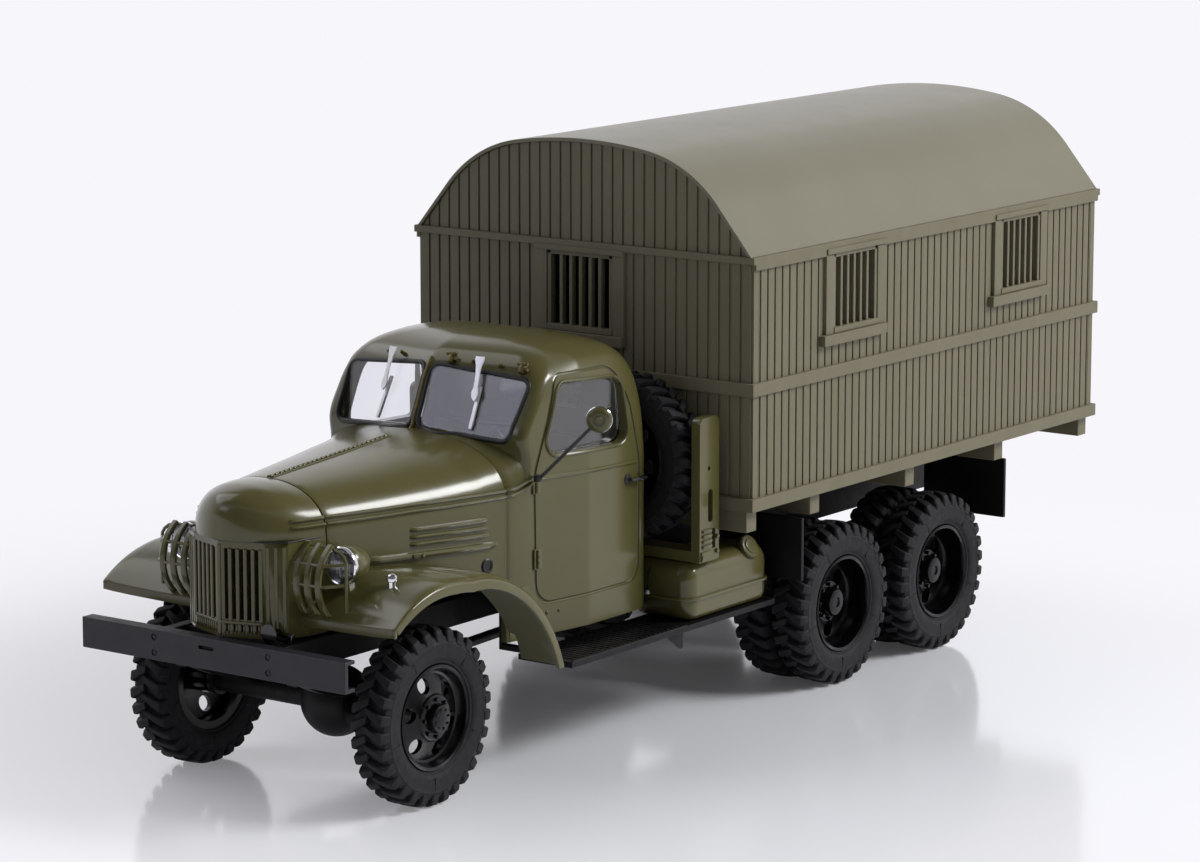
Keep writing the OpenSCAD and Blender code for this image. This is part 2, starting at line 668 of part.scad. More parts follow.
module seat_bench() color(black) {
    seat_z = cab_floor_z + cab_floor_t + touch;
    back_y = cab_back_y - cab_t - 2;
    box([-seat_half_w, seat_y, seat_z], [seat_half_w, seat_y + seat_l, seat_z + seat_h]);
    box([-seat_half_w, back_y - seat_back_t, seat_z + seat_h - 0.1], [seat_half_w, back_y, seat_z + seat_back_h]);
}

dash_half_w = 13.6;
dash_y = cowl_y + 3.6;
dash_l = 2.4;
dash_z = 35.5;
dash_h = 4.9;
steer = [8.2, cowl_y + 11.4, 39.6];
steer_r = 3.6;
steer_lean = 64;
steer_rim_r = 0.35;

// Dashboard, steering column and wheel
module dashboard() color(black) {
    box([-dash_half_w, dash_y, dash_z], [dash_half_w, dash_y + dash_l, dash_z + dash_h]);
    rod([steer.x, dash_y + dash_l / 2, dash_z + 0.7], steer, steer_rim_r);
    translate(steer) rotate([-steer_lean, 0, 0]) {
        rotate_extrude() translate([steer_r, 0]) circle(r = steer_rim_r, $fn = 16);
        for (a = [0, 120, 240]) rotate([0, 0, a]) translate([0, -0.25, -0.25]) cube([steer_r, 0.5, 0.5]);
    }
}

// Front end

grille_low_z = bumper_z + bumper_h + touch;
grille_top_z = bonnet_base_z - touch;
// The grille's front in plan, from the middle to the bonnet's side
grille_pts = [[0, -17.2], [5.45, -15.4], [8.2, -13.4], [9.3, nose_y]];
grille_t = 0.9;
slot_count = 5;
slot_w = 0.5;

// The grille in plan: its front line and the same line set back
module grille_plan() {
    last = len(grille_pts) - 1;
    back = [for (i = [0 : last]) grille_pts[i] + [i == 0 ? 0 : -grille_t, i < 2 ? grille_t : 0]];
    polygon(concat(
        [for (i = [last : -1 : 1]) [-grille_pts[i].x, grille_pts[i].y]], grille_pts,
        [for (i = [last : -1 : 1]) back[i]], [for (i = [0 : last]) [-back[i].x, back[i].y]]
    ));
}

module grille() color(olive) difference() {
    translate([0, 0, grille_low_z]) linear_extrude(grille_top_z - grille_low_z) grille_plan();
    front = grille_pts[1] - grille_pts[0];
    pitch = norm(front) / (slot_count + 0.6);
    both_sides() translate([grille_pts[0].x, grille_pts[0].y, 0]) rotate([0, 0, atan2(front.y, front.x)])
        for (i = [0 : slot_count - 1]) {
            x = (i + 0.75) * pitch;
            box([x, -1, grille_low_z + 2.3], [x + slot_w, 2, grille_top_z - 1]);
            box([x, -1, grille_low_z + 0.7], [x + slot_w, 2, grille_low_z + 1.8]);
        }
}

radiator_half_w = 6.6;
radiator_y = nose_y - 4.5;
radiator_t = 2.6;

module radiator() color(black)
    box([-radiator_half_w, radiator_y, grille_low_z], [radiator_half_w, radiator_y + radiator_t, grille_top_z]);

horn_at = [grille_pts[2].x - 1.3, -front_overhang + 3.1, grille_low_z + 0.9];
horn_r = 1.3;

// A small trumpet on a bracket that stands on the frame rail
module horn() color(black) {
    translate(horn_at) rotate([-90, 0, 0]) cylinder(h = 0.8, r1 = horn_r, r2 = 0.6);
    translate(horn_at) rotate([-90, 0, 0]) cylinder(h = 2, r = 0.5);
    box([horn_at.x - 0.4, horn_at.y + 1.2, frame_top + touch], [frame_w / 2 - 0.5, horn_at.y + 2, horn_at.z]);
}

fender_r = 17.5;
fender_spread = 0.072;
fender_front_spread = 0.028;
fender_spread_from = 12;
fender_front_a = -41;
fender_back_a = 83;
fender_steps = 22;
fender_out_x = 24.2;
fender_t = 0.7;
fender_lip = 1.1;
fender_rise = 0.9;
fender_sink = 0.6;

// Radius of the fender's outer edge about the wheel's centre at angle a behind the vertical
function fender_edge_r(a) = fender_r + fender_spread * max(0, a - fender_spread_from)
    + fender_front_spread * max(0, -a);

// Where the fender starts beside the bonnet and the cab
function fender_in_x(y) = y < nose_y ? lookup(y, [[-17, 9.4], [nose_y, 9.6]]) :
    y < cowl_y ? bonnet_half_w(y) + 0.15 : 17;

// How far the fender's inner edge stands over its outer one: it sinks towards the front
function fender_crown(a) = fender_rise - (fender_rise + fender_sink) * min(max((-8 - a) / 33, 0), 1);

// One ring of the fender at angle a: its crowned top, its lip and its underside
function fender_ring(a) =
    let (r = fender_edge_r(a), y = r * sin(a), x0 = fender_in_x(y), x1 = fender_out_x, c = fender_crown(a))
    // Columns: across, height over the edge's radius
    let (line = [
        [x0, c - fender_t], [x1 - 1.4, 0.2 + 0.55 * c - fender_t], [x1 - 0.6, -fender_lip], [x1, -fender_lip],
        [x1, -0.1], [x1 - 0.5, 0.15 + 0.28 * c], [x1 - 1.5, 0.2 + 0.55 * c], [x0, c]
    ])
    [for (p = line) [p[0], (r + p[1]) * sin(a), tyre_r + (r + p[1]) * cos(a)]];

module fender() one_mesh() loft([for (i = [0 : fender_steps])
    fender_ring(fender_front_a + (fender_back_a - fender_front_a) * i / fender_steps)]);

module fenders() color(olive) both_sides() fender();

lamp = [12.9, -9, 31.6];
lamp_r = 2.45;
lamp_l = 5;

// A bullet-shaped shell on a foot that stands on the fender
module headlamps() color(olive) both_sides() {
    translate(lamp) rotate([-90, 0, 0]) rotate_extrude() polygon([
        [0, 0.5], [lamp_r - 0.3, 0.5], [lamp_r - 0.3, 0], [lamp_r, 0], [lamp_r, 1], [lamp_r * 0.93, 2.2],
        [lamp_r * 0.74, 3.4], [lamp_r * 0.4, 4.5], [0, lamp_l]
    ]);
    translate([lamp.x, lamp.y + 1.6, 0]) box([-0.6, -0.6, 28.2], [0.6, 0.6, lamp.z - lamp_r * 0.8]);
}

module headlamp_lenses() color(glass) both_sides() translate(lamp) rotate([-90, 0, 0]) rotate_extrude() polygon([
    [0, -0.5], [lamp_r * 0.5, -0.35], [lamp_r - 0.35, 0.05], [lamp_r - 0.35, 0.45], [0, 0.45]
]);

// Each guard is a cage: bowed strips, two cross rods and a hoop that stands behind them
guard_in_x = 8.7;
guard_out_x = 15.2;
guard_strips = [9.3, 11, 12.8];
guard_strip_w = 0.9;
guard_bow_r = 5.7;
guard_mid = [-7.9, 29.8];
guard_bar = 0.45;
guard_rods = [29.7, 32.3];
guard_rod_r = 0.22;
guard_half_h = 4.7;
guard_hoop_y = guard_mid[0] - sqrt(pow(guard_bow_r - guard_bar / 2, 2) - pow(guard_half_h, 2));

// A strip bowed in the y-z plane, w wide about x
module guard_strip(x, w) translate([x - w / 2, 0, 0]) rotate([90, 0, 90]) linear_extrude(w)
    translate(guard_mid) intersection() {
        difference() {
            circle(r = guard_bow_r);
            circle(r = guard_bow_r - guard_bar);
        }
        translate([-guard_bow_r - 1, -guard_half_h]) square([guard_bow_r, 2 * guard_half_h]);
    }

module lamp_guards() color(olive) both_sides() {
    top_z = guard_mid[1] + guard_half_h - guard_rod_r;
    shoulder = [guard_out_x - 1.4, guard_hoop_y, top_z - 0.4];
    for (x = guard_strips) guard_strip(x, guard_strip_w);
    for (z = guard_rods) {
        y = guard_mid[0] - sqrt(pow(guard_bow_r - guard_bar / 2, 2) - pow(z - guard_mid[1], 2));
        rod([guard_in_x, y, z], [guard_strips[2] + 0.6, y, z], guard_rod_r);
        rod([guard_strips[2] + 0.5, y, z], [guard_out_x + 0.1, guard_hoop_y, z], guard_rod_r);
    }
    rod([guard_out_x, guard_hoop_y, guard_mid[1] - guard_half_h], [guard_out_x, guard_hoop_y, top_z - 1.6], guard_rod_r);
    rod([guard_out_x, guard_hoop_y, top_z - 1.7], shoulder + [-0.1, 0, 0], guard_rod_r);
    rod(shoulder, [guard_in_x, guard_hoop_y, top_z], guard_rod_r);
}

module marker_lamps() color(silver) both_sides()
    translate([18.3, -5.6, tyre_r + fender_r - 1.2]) cylinder(h = 3, r1 = 0.5, r2 = 0.7);

// Where each wiper hangs, left and right
wiper_xs = [8.4, -6.8];
wiper_l = 9.6;
wiper_arm_t = 0.4;

// The arm and the blade of a wiper lie on the windscreen, hung from above its top edge
module wiper(x) translate([x, cowl_y + 1 + abs(x) * tan(screen_turn), screen_foot_z])
    rotate([0, 0, sign(x) * screen_turn]) rotate([-screen_lean, 0, 0]) {
        box([-0.25, -wiper_arm_t - 0.3, wiper_l * 0.3], [0.25, -0.3, wiper_l]);
        box([-0.5, -wiper_arm_t - 0.3, wiper_l * 0.85], [0.5, 0, wiper_l]);
        box([-0.15, -wiper_arm_t - 0.2, 0], [0.15, -0.15, wiper_l * 0.5]);
    }

module wipers() color(silver) for (x = wiper_xs) wiper(x);

// A round mirror on a stalk from the left door's hinge
mirror_foot = [cab_half_w - 1.1, cowl_y + 4.2, 37.6];
mirror_head = [cab_half_w + 6.6, cowl_y + 8.2, 45.8];
mirror_r = 1.75;
mirror_turn = 32;

module side_mirror() color(olive) {
    rod(mirror_foot, mirror_head, 0.3);
    translate(mirror_head) rotate([0, 0, mirror_turn]) rotate([90, 0, 0]) {
        cylinder(h = 0.5, r = mirror_r, center = true);
        cylinder(h = 1.2, r1 = mirror_r * 0.65, r2 = mirror_r * 0.2);
    }
}

// Van body

side_x = van_w / 2;
// The roof's crown: radius and half angle, then the shoulder's radius and the slope of the straight eaves
crown_r = 70;
crown_a = 9;
shoulder_r = 20;
eave_a = 50;
arch_steps = 8;

shoulder_end = [
    crown_r * sin(crown_a) + shoulder_r * (sin(eave_a) - sin(crown_a)),
    crown_r * (cos(crown_a) - 1) + shoulder_r * (cos(eave_a) - cos(crown_a))
];
// Height of the roof's crest over the eaves
arch_h = (side_x - shoulder_end.x) * tan(eave_a) - shoulder_end.y;
crest_z = eave_z + arch_h;

// The right half of the roof's line in x-z, from the crest to the eave, set in by t
function arch_half(t) = concat(
    [for (i = [0 : arch_steps]) let (a = crown_a * i / arch_steps)
        [(crown_r - t) * sin(a), crest_z - crown_r + (crown_r - t) * cos(a)]],
    [for (i = [1 : arch_steps]) let (a = crown_a + (eave_a - crown_a) * i / arch_steps)
        [(crown_r - shoulder_r) * sin(crown_a) + (shoulder_r - t) * sin(a),
         crest_z - crown_r + (crown_r - shoulder_r) * cos(crown_a) + (shoulder_r - t) * cos(a)]],
    [[side_x - t / sin(eave_a), eave_z]]
);

// The whole line from the left eave to the right one
function arch(t) = let (h = arch_half(t), n = len(h))
    concat([for (i = [n - 1 : -1 : 1]) h[i]], [for (p = h) [-p.x, p.y]]);

// Heights of the belts' undersides over the wall's foot, and their height
belt_h = 1.8;
belt_in = groove_d + 0.2;
belt_foot = [0, van_h * 0.455, van_h - belt_h];

// A boarded wall in plan, its face along +x at y = 0, grooved every board
module boards_plan(l, t) {
    count = floor(l / board_pitch);
    start = (l - count * board_pitch) / 2;
    groove_w = 0.3;
    difference() {
        square([l, t]);
        for (i = [0 : count]) translate([start + i * board_pitch - groove_w / 2, -1]) square([groove_w, 1 + groove_d]);
    }
}

// Window openings: half width, sill and head over the wall's foot
win_half_w = 5.6;
win_sill = 22;
win_head = 33.2;
trim_w = 1.9;
side_windows = [24.8, 69.6];

// The trim strips and the sill that frame a window, standing proud of the wall's face
module window_trim(x) {
    for (s = [-1, 1]) box([x + s * (win_half_w + trim_w / 2) - trim_w / 2, -belt_d, win_sill],
        [x + s * (win_half_w + trim_w / 2) + trim_w / 2, 0.2, win_head]);
    box([x - win_half_w - trim_w - 1, -belt_d - 0.5, win_sill - 1.5], [x + win_half_w + trim_w, 0.2, win_sill]);
}

module window_hole(x) box([x - win_half_w, -2, win_sill], [x + win_half_w, wall_t + 2, win_head]);

// A wall seen from outside: its left end at x = 0, its foot at z = 0, its face at y = 0
module wall(l, windows, over) {
    difference() {
        union() {
            linear_extrude(van_h) boards_plan(l, wall_t);
            for (z = belt_foot) {
                box([0, -belt_d, z], [l, belt_in, z + belt_h]);
                box([-over, -belt_d, z], [l + over, 0, z + belt_h]);
            }
            for (x = windows) window_trim(x);
        }
        for (x = windows) window_hole(x);
    }
}

// The boarded gable between an end wall's head and the roof
module gable() intersection() {
    translate([0, 0, van_h - 0.1]) linear_extrude(arch_h + 1) boards_plan(van_w, wall_t);
    head = arch(roof_t + touch);
    foot = [0, -0.2];
    translate([side_x, wall_t + 1, -van_z]) rotate([90, 0, 0]) linear_extrude(wall_t + 2)
        polygon(concat(head, [head[len(head) - 1] + foot, head[0] + foot]));
}

module end_wall(windows) {
    wall(van_w, windows, belt_d);
    gable();
}

side_l = van_l - 2 * wall_t - 2 * touch;
side_y = van_y + wall_t + touch;

module van_wall_front() color(van_olive) translate([-side_x, van_y, van_z]) end_wall([side_x]);
module van_wall_left() color(van_olive) translate([side_x, side_y, van_z]) rotate([0, 0, 90])
    wall(side_l, [for (y = side_windows) y - wall_t], wall_t);
module van_wall_right() color(van_olive) translate([-side_x, side_y + side_l, van_z]) rotate([0, 0, -90])
    wall(side_l, [for (y = side_windows) side_l - y + wall_t], wall_t);

door_half_w = 9.5;
door_foot = 2.4;
door_head = 32.4;

module van_wall_rear() color(van_olive) difference() {
    translate([side_x, van_back_y, van_z]) rotate([0, 0, 180]) end_wall([]);
    box([-door_half_w, van_back_y - wall_t - 1, van_z + door_foot], [door_half_w, van_back_y + 2, van_z + door_head]);
}

// The rear door, boarded like the walls, with its strap hinges and handle
module van_door() color(van_olive) {
    half = door_half_w - touch;
    difference() {
        translate([half, van_back_y, van_z + door_foot + touch]) rotate([0, 0, 180])
            linear_extrude(door_head - door_foot - 2 * touch) boards_plan(2 * half, wall_t);
        box([-win_half_w, van_back_y - 3, van_z + win_sill], [win_half_w, van_back_y + 1, van_z + door_head - 2]);
    }
    for (z = [5, 17]) box([-half, van_back_y - 0.3, van_z + z], [half - 5, van_back_y + 0.3, van_z + z + 1]);
    box([half - 2.6, van_back_y - 0.3, van_z + 14], [half - 1.8, van_back_y + 0.45, van_z + 16.4]);
}

module van_roof() color(van_olive) translate([0, van_back_y + belt_d * 0.8, 0]) rotate([90, 0, 0])
    linear_extrude(van_l + 1.6 * belt_d) polygon(concat(arch(0), [for (p = arch(roof_t)) [-p.x, p.y]]));

module van_floor() color(van_olive)
    box([-side_x + wall_t + touch, van_y + wall_t + touch, van_z], [side_x - wall_t - touch, van_back_y - wall_t - touch, van_z + 1]);

bearer_w = 2.4;
bearer_count = 5;
bearer_first = van_y + 1.2;
bearer_second = van_y + 16.8;
bearer_last = van_back_y - 1.3;

// Middle of bearer i: the front one stands alone and the others are evenly spaced
function bearer_y(i) = i == 0 ? bearer_first :
    bearer_second + (bearer_last - bearer_second) * (i - 1) / (bearer_count - 2);

module van_bearers() color(van_olive) for (i = [0 : bearer_count - 1])
    box([-side_x + 0.8, bearer_y(i) - bearer_w / 2, bearer_z], [side_x - 0.8, bearer_y(i) + bearer_w / 2, van_z - touch]);

// A barred frame that fills one window, drawn as wall() draws it
bar_count = 5;
bar_w = 0.5;

module barred_frame(x, head) {
    h = head - win_sill - 2 * touch;
    w = 2 * win_half_w - 2 * touch;
    rim = 0.6;
    translate([x - w / 2, 0.2, win_sill + touch]) {
        difference() {
            cube([w, 0.6, h]);
            translate([rim, -1, rim]) cube([w - 2 * rim, 3, h - 2 * rim]);
        }
        for (i = [1 : bar_count])
            translate([rim + (w - 2 * rim) * i / (bar_count + 1) - bar_w / 2, 0.05, rim - 0.1]) cube([bar_w, bar_w, h - 2 * rim + 0.2]);
    }
}

module window_pane(x, head) {
    w = 2 * win_half_w - 2 * touch;
    translate([x - w / 2, 0.95, win_sill + touch]) cube([w, pane_t, head - win_sill - 2 * touch]);
}

// Does the same for every window of the van: 0 draws the bars, 1 the panes
module window_fill(kind, x, head) if (kind == 0) barred_frame(x, head); else window_pane(x, head);

module all_windows(kind) {
    translate([-side_x, van_y, van_z]) window_fill(kind, side_x, win_head);
    for (y = side_windows) both_sides() translate([side_x, van_y, van_z]) rotate([0, 0, 90])
        window_fill(kind, y, win_head);
    translate([side_x, van_back_y, van_z]) rotate([0, 0, 180]) window_fill(kind, side_x, door_head - 2);
}

module window_bars() color(van_olive) all_windows(0);
module van_panes() color(glass) all_windows(1);

// Nodes

placed() frame_rails();
placed() crossmembers();
placed() bumper();
placed() front_axle();
placed() rear_axles();
placed() leaf_springs();
placed() drivetrain();
placed() exhaust();
placed() running_boards();
placed() fuel_tanks();
placed() spare_carrier();
placed() spare_tyres();
placed() spare_rims();
placed() mud_flaps();
placed() radiator();
placed() horn();
placed() cab_shell();
placed() cab_glass();
placed() seat_bench();
placed() dashboard();
placed() bonnet();
placed() bonnet_nose();
placed() grille();
placed() fenders();
placed() headlamps();
placed() headlamp_lenses();
placed() lamp_guards();
placed() marker_lamps();
placed() wipers();
placed() side_mirror();
placed() van_floor();
placed() van_bearers();
placed() van_wall_front();
placed() van_wall_left();
placed() van_wall_right();
placed() van_wall_rear();
placed() van_roof();
placed() van_door();
placed() van_panes();
placed() window_bars();
placed() color(black) single_tyre();  // tyre_front_left
placed() color(black) mirror([1, 0, 0]) single_tyre();  // tyre_front_right
placed() color(black) single_rim();  // rim_front_left
placed() color(black) mirror([1, 0, 0]) single_rim();  // rim_front_right
placed() color(black) twin_tyres(mid_y);  // tyres_mid_left
placed() color(black) mirror([1, 0, 0]) twin_tyres(mid_y);  // tyres_mid_right
placed() color(black) twin_rims(mid_y);  // rims_mid_left
placed() color(black) mirror([1, 0, 0]) twin_rims(mid_y);  // rims_mid_right
placed() color(black) twin_tyres(rear_y);  // tyres_rear_left
placed() color(black) mirror([1, 0, 0]) twin_tyres(rear_y);  // tyres_rear_right
placed() color(black) twin_rims(rear_y);  // rims_rear_left
placed() color(black) mirror([1, 0, 0]) twin_rims(rear_y);  // rims_rear_right
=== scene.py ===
"""Looks of a 1:43 scale model of a six-wheel-drive army van truck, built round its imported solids.

Shapes are drawn in millimetres, with y measured back from the front axle, +X the truck's left side and +Z up.
piece() sets each one in the row frame, in metres.
"""

import math

import bmesh
import bpy
import numpy as np
from mathutils import Matrix, Vector
from mathutils.bvhtree import BVHTree


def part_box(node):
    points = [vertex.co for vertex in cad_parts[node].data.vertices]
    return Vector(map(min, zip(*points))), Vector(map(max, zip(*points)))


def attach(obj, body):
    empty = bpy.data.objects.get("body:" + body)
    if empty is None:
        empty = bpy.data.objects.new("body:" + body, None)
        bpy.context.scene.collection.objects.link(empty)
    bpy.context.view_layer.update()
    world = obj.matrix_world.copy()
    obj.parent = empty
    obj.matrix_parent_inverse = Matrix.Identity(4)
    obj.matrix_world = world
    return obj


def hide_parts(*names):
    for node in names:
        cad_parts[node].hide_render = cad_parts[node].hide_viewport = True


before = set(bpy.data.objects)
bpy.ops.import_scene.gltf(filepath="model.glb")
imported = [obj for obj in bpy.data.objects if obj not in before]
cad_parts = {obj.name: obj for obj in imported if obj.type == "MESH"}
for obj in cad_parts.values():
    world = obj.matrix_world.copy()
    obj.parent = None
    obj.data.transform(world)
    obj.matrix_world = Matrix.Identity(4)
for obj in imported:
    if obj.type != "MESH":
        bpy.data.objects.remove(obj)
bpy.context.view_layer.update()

# Sizes that the frame gives, in millimetres
MM = 0.001


def node_box(node):
    """Lowest and highest corner of a solid, in millimetres of the row frame."""
    low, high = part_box(node)
    return low / MM, high / MM


front_low, front_high = node_box("tyre_front_left")
mid_low, mid_high = node_box("tyres_mid_left")
rear_low, rear_high = node_box("tyres_rear_left")
AXLE_Y = (front_low.y + front_high.y) / 2
TYRE_R = (front_high.z - front_low.z) / 2
TYRE_W = front_high.x - front_low.x
FRONT_X = (front_low.x + front_high.x) / 2
TWIN_OUT_X = mid_high.x - TYRE_W / 2
TWIN_IN_X = mid_low.x + TYRE_W / 2
MID_Y = (mid_low.y + mid_high.y) / 2 - AXLE_Y
REAR_Y = (rear_low.y + rear_high.y) / 2 - AXLE_Y
TO_FRAME = Matrix.Scale(MM, 4) @ Matrix.Translation((0, AXLE_Y, 0))
SMOOTH_ANGLE = math.radians(32)
MIRROR_X = Matrix.Scale(-1, 4, (1, 0, 0))


# Making pieces

def linked(name, mesh):
    obj = bpy.data.objects.new(name, mesh)
    bpy.context.scene.collection.objects.link(obj)
    return obj


def as_mesh(bm, name="part"):
    """A plain mesh from a bmesh, which is freed."""
    mesh = bpy.data.meshes.new(name)
    bm.to_mesh(mesh)
    bm.free()
    return mesh


def piece(name, shape, material=None, body="truck", replaces=(), smooth=SMOOTH_ANGLE):
    """A finished piece from a bmesh or a mesh: placed, smoothed, painted and tied to its body."""
    mesh = as_mesh(shape) if isinstance(shape, bmesh.types.BMesh) else shape
    mesh.name = name
    mesh.transform(TO_FRAME)
    if material:
        mesh.materials.clear()
        mesh.materials.append(material)
    mesh.shade_smooth()
    mesh.set_sharp_from_angle(angle=smooth)
    obj = linked(name, mesh)
    flat = obj.modifiers.new("flat_faces", "WEIGHTED_NORMAL")
    flat.keep_sharp = True
    obj.data = evaluated(obj)
    obj.modifiers.clear()
    obj.data.name = name
    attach(obj, body)
    if replaces:
        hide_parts(*replaces)
    return obj


def merge_into(target, *others):
    """Adds other bmeshes or meshes to a bmesh."""
    for other in others:
        mesh = as_mesh(other) if isinstance(other, bmesh.types.BMesh) else other
        target.from_mesh(mesh)
        bpy.data.meshes.remove(mesh)
    return target


def joined(*parts):
    return merge_into(bmesh.new(), *parts)


def moved(shape, matrix):
    """The shape after a matrix; one that mirrors has its faces turned round."""
    shape.transform(matrix)
    if matrix.determinant() < 0:
        bmesh.ops.reverse_faces(shape, faces=shape.faces)
    return shape


def mirrored(shape):
    """A copy on the truck's right side."""
    return moved(shape.copy(), MIRROR_X)


def both_sides(shape):
    return joined(mirrored(shape), shape)


def turned(axis, degrees):
    return Matrix.Rotation(math.radians(degrees), 4, axis)


def shifted(x, y, z):
    return Matrix.Translation((x, y, z))


def closed_loft(rings):
    """A closed solid through rings of equally many points, with its faces pointing outwards."""
    bm = bmesh.new()
    verts = [[bm.verts.new(p) for p in ring] for ring in rings]
    count = len(rings[0])
    for low, high in zip(verts, verts[1:]):
        for j in range(count):
            bm.faces.new((low[j], low[(j + 1) % count], high[(j + 1) % count], high[j]))
    bm.faces.new(verts[0])
    bm.faces.new(verts[-1])
    bmesh.ops.recalc_face_normals(bm, faces=bm.faces)
    return bm


def spun(profile, steps=72):
    """A closed solid that turns a closed (radius, across) outline about the X axis."""
    bm = bmesh.new()
    rings = []
    for i in range(steps):
        a = math.tau * i / steps
        rings.append([bm.verts.new((x, r * math.sin(a), r * math.cos(a))) for r, x in profile])
    count = len(profile)
    for low, high in zip(rings, rings[1:] + rings[:1]):
        for j in range(count):
            bm.faces.new((low[j], low[(j + 1) % count], high[(j + 1) % count], high[j]))
    bmesh.ops.remove_doubles(bm, verts=bm.verts, dist=1e-4)
    bmesh.ops.dissolve_degenerate(bm, edges=bm.edges, dist=1e-5)
    bmesh.ops.recalc_face_normals(bm, faces=bm.faces)
    return bm


def plate(outline, thickness, soft=0.0):
    """A flat plate in the x-z plane, thickness towards +y, its edges rounded by soft."""
    bm = bmesh.new()
    face = bm.faces.new([bm.verts.new((x, 0, z)) for x, z in outline])
    extruded = bmesh.ops.extrude_face_region(bm, geom=[face])["geom"]
    bmesh.ops.translate(bm, vec=(0, thickness, 0),
                        verts=[g for g in extruded if isinstance(g, bmesh.types.BMVert)])
    bmesh.ops.recalc_face_normals(bm, faces=bm.faces)
    return rounded_edges(bm, soft) if soft else bm


def block(low, high, soft=0.0):
    """A box between two corners, its edges rounded by soft."""
    bm = bmesh.new()
    size = Vector(high) - Vector(low)
    bmesh.ops.create_cube(bm, size=1)
    bm.transform(Matrix.Translation((Vector(low) + Vector(high)) / 2) @ Matrix.Diagonal((*size, 1)))
    return rounded_edges(bm, soft) if soft else bm


def rounded_edges(bm, soft, angle=30, segments=2):
    """Rounds the edges that turn by more than angle."""
    edges = [e for e in bm.edges if e.is_manifold and e.calc_face_angle() > math.radians(angle)]
    bmesh.ops.bevel(
        bm, geom=edges, offset=soft, segments=segments, profile=0.5, affect="EDGES", clamp_overlap=True
    )
    return bm


def solid_copy(node, soft=0.0):
    """A merged copy of a solid in the truck's millimetres, with its edges rounded by soft."""
    bm = bmesh.new()
    bm.from_mesh(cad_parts[node].data)
    bm.transform(TO_FRAME.inverted())
    bmesh.ops.remove_doubles(bm, verts=bm.verts, dist=0.002)
    bmesh.ops.dissolve_limit(bm, angle_limit=math.radians(0.8), verts=bm.verts, edges=bm.edges)
    return rounded_edges(bm, soft) if soft else bm


def carved(shape, tools, how="DIFFERENCE"):
    """The shape after a Boolean with each tool in turn."""
    target = linked("carving", as_mesh(shape))
    used = []
    for tool in tools:
        cutter = linked("cutter", as_mesh(tool))
        used.append(cutter)
        mod = target.modifiers.new("carve", "BOOLEAN")
        mod.object = cutter
        mod.operation = how
        mod.solver = "EXACT"
    bm = bmesh.new()
    bm.from_mesh(evaluated(target))
    for obj in [target] + used:
        bpy.data.objects.remove(obj)
    return bm


def evaluated(obj):
    """A plain mesh of the object with its modifiers applied."""
    graph = bpy.context.evaluated_depsgraph_get()
    return bpy.data.meshes.new_from_object(obj.evaluated_get(graph))


def smooth_rows(rows, step):
    """A table with rows about step apart between its own, on a monotone cubic through each column."""
    rows = np.array(rows, float)
    along = np.concatenate([[0], np.cumsum(np.linalg.norm(np.diff(rows[:, :5], axis=0), axis=1))])
    gap = np.diff(along)[:, None]
    rise = np.diff(rows, axis=0) / gap
    slope = np.zeros_like(rows)
    slope[0], slope[-1] = rise[0], rise[-1]
    same = rise[:-1] * rise[1:] > 0
    weight_a, weight_b = 2 * gap[1:] + gap[:-1], gap[1:] + 2 * gap[:-1]
    safe = np.where(same, rise[:-1], 1), np.where(same, rise[1:], 1)
    slope[1:-1] = np.where(same, (weight_a + weight_b) / (weight_a / safe[0] + weight_b / safe[1]), 0)
    out = []
    for i in range(len(rows) - 1):
        count = max(2, round(gap[i, 0] / step))
        for t in np.arange(count) / count:
            out.append(
                rows[i] * (2 * t**3 - 3 * t**2 + 1)
                + rows[i + 1] * (3 * t**2 - 2 * t**3)
                + gap[i] * (slope[i] * (t**3 - 2 * t**2 + t) + slope[i + 1] * (t**3 - t**2))
            )
    return out + [rows[-1]]


def rounded_outline(corners, radii, steps=6, between=0):
    """Points round a closed polygon whose corners are arcs, with extra points on the straights."""
    corners = [Vector(c) for c in corners]
    arcs = []
    for i, corner in enumerate(corners):
        back = (corners[i - 1] - corner).normalized()
        ahead = (corners[(i + 1) % len(corners)] - corner).normalized()
        half = back.angle(ahead) / 2
        if half > math.radians(89.5):
            arcs.append([corner + (back * (steps - 2 * k) / steps) * radii[i] / 10 for k in range(steps + 1)])
            continue
        centre = corner + (back + ahead).normalized() * radii[i] / math.sin(half)
        first = corner + back * radii[i] / math.tan(half) - centre
        last = corner + ahead * radii[i] / math.tan(half) - centre
        sweep = math.pi - 2 * half
        arcs.append([
            centre + (first * math.sin(sweep * (1 - k / steps))
                      + last * math.sin(sweep * k / steps)) / math.sin(sweep)
            for k in range(steps + 1)
        ])
    points = []
    for arc, following in zip(arcs, arcs[1:] + arcs[:1]):
        points += arc
        points += [arc[-1].lerp(following[0], (k + 1) / (between + 1)) for k in range(between)]
    return points


# Geometry Nodes: what repeats round an axle, along a row, or follows a path

def node_group(name, inputs):
    """An empty Geometry Nodes tree with a geometry input and output and these named inputs."""
    tree = bpy.data.node_groups.new(name, "GeometryNodeTree")
    tree.interface.new_socket("Geometry", in_out="INPUT", socket_type="NodeSocketGeometry")
    for label, kind, value in inputs:
        socket = tree.interface.new_socket(label, in_out="INPUT", socket_type="NodeSocket" + kind)
        if value is not None:
            socket.default_value = value
    tree.interface.new_socket("Geometry", in_out="OUTPUT", socket_type="NodeSocketGeometry")
    return tree


def wire(tree, source, sink):
    tree.links.new(source, sink)


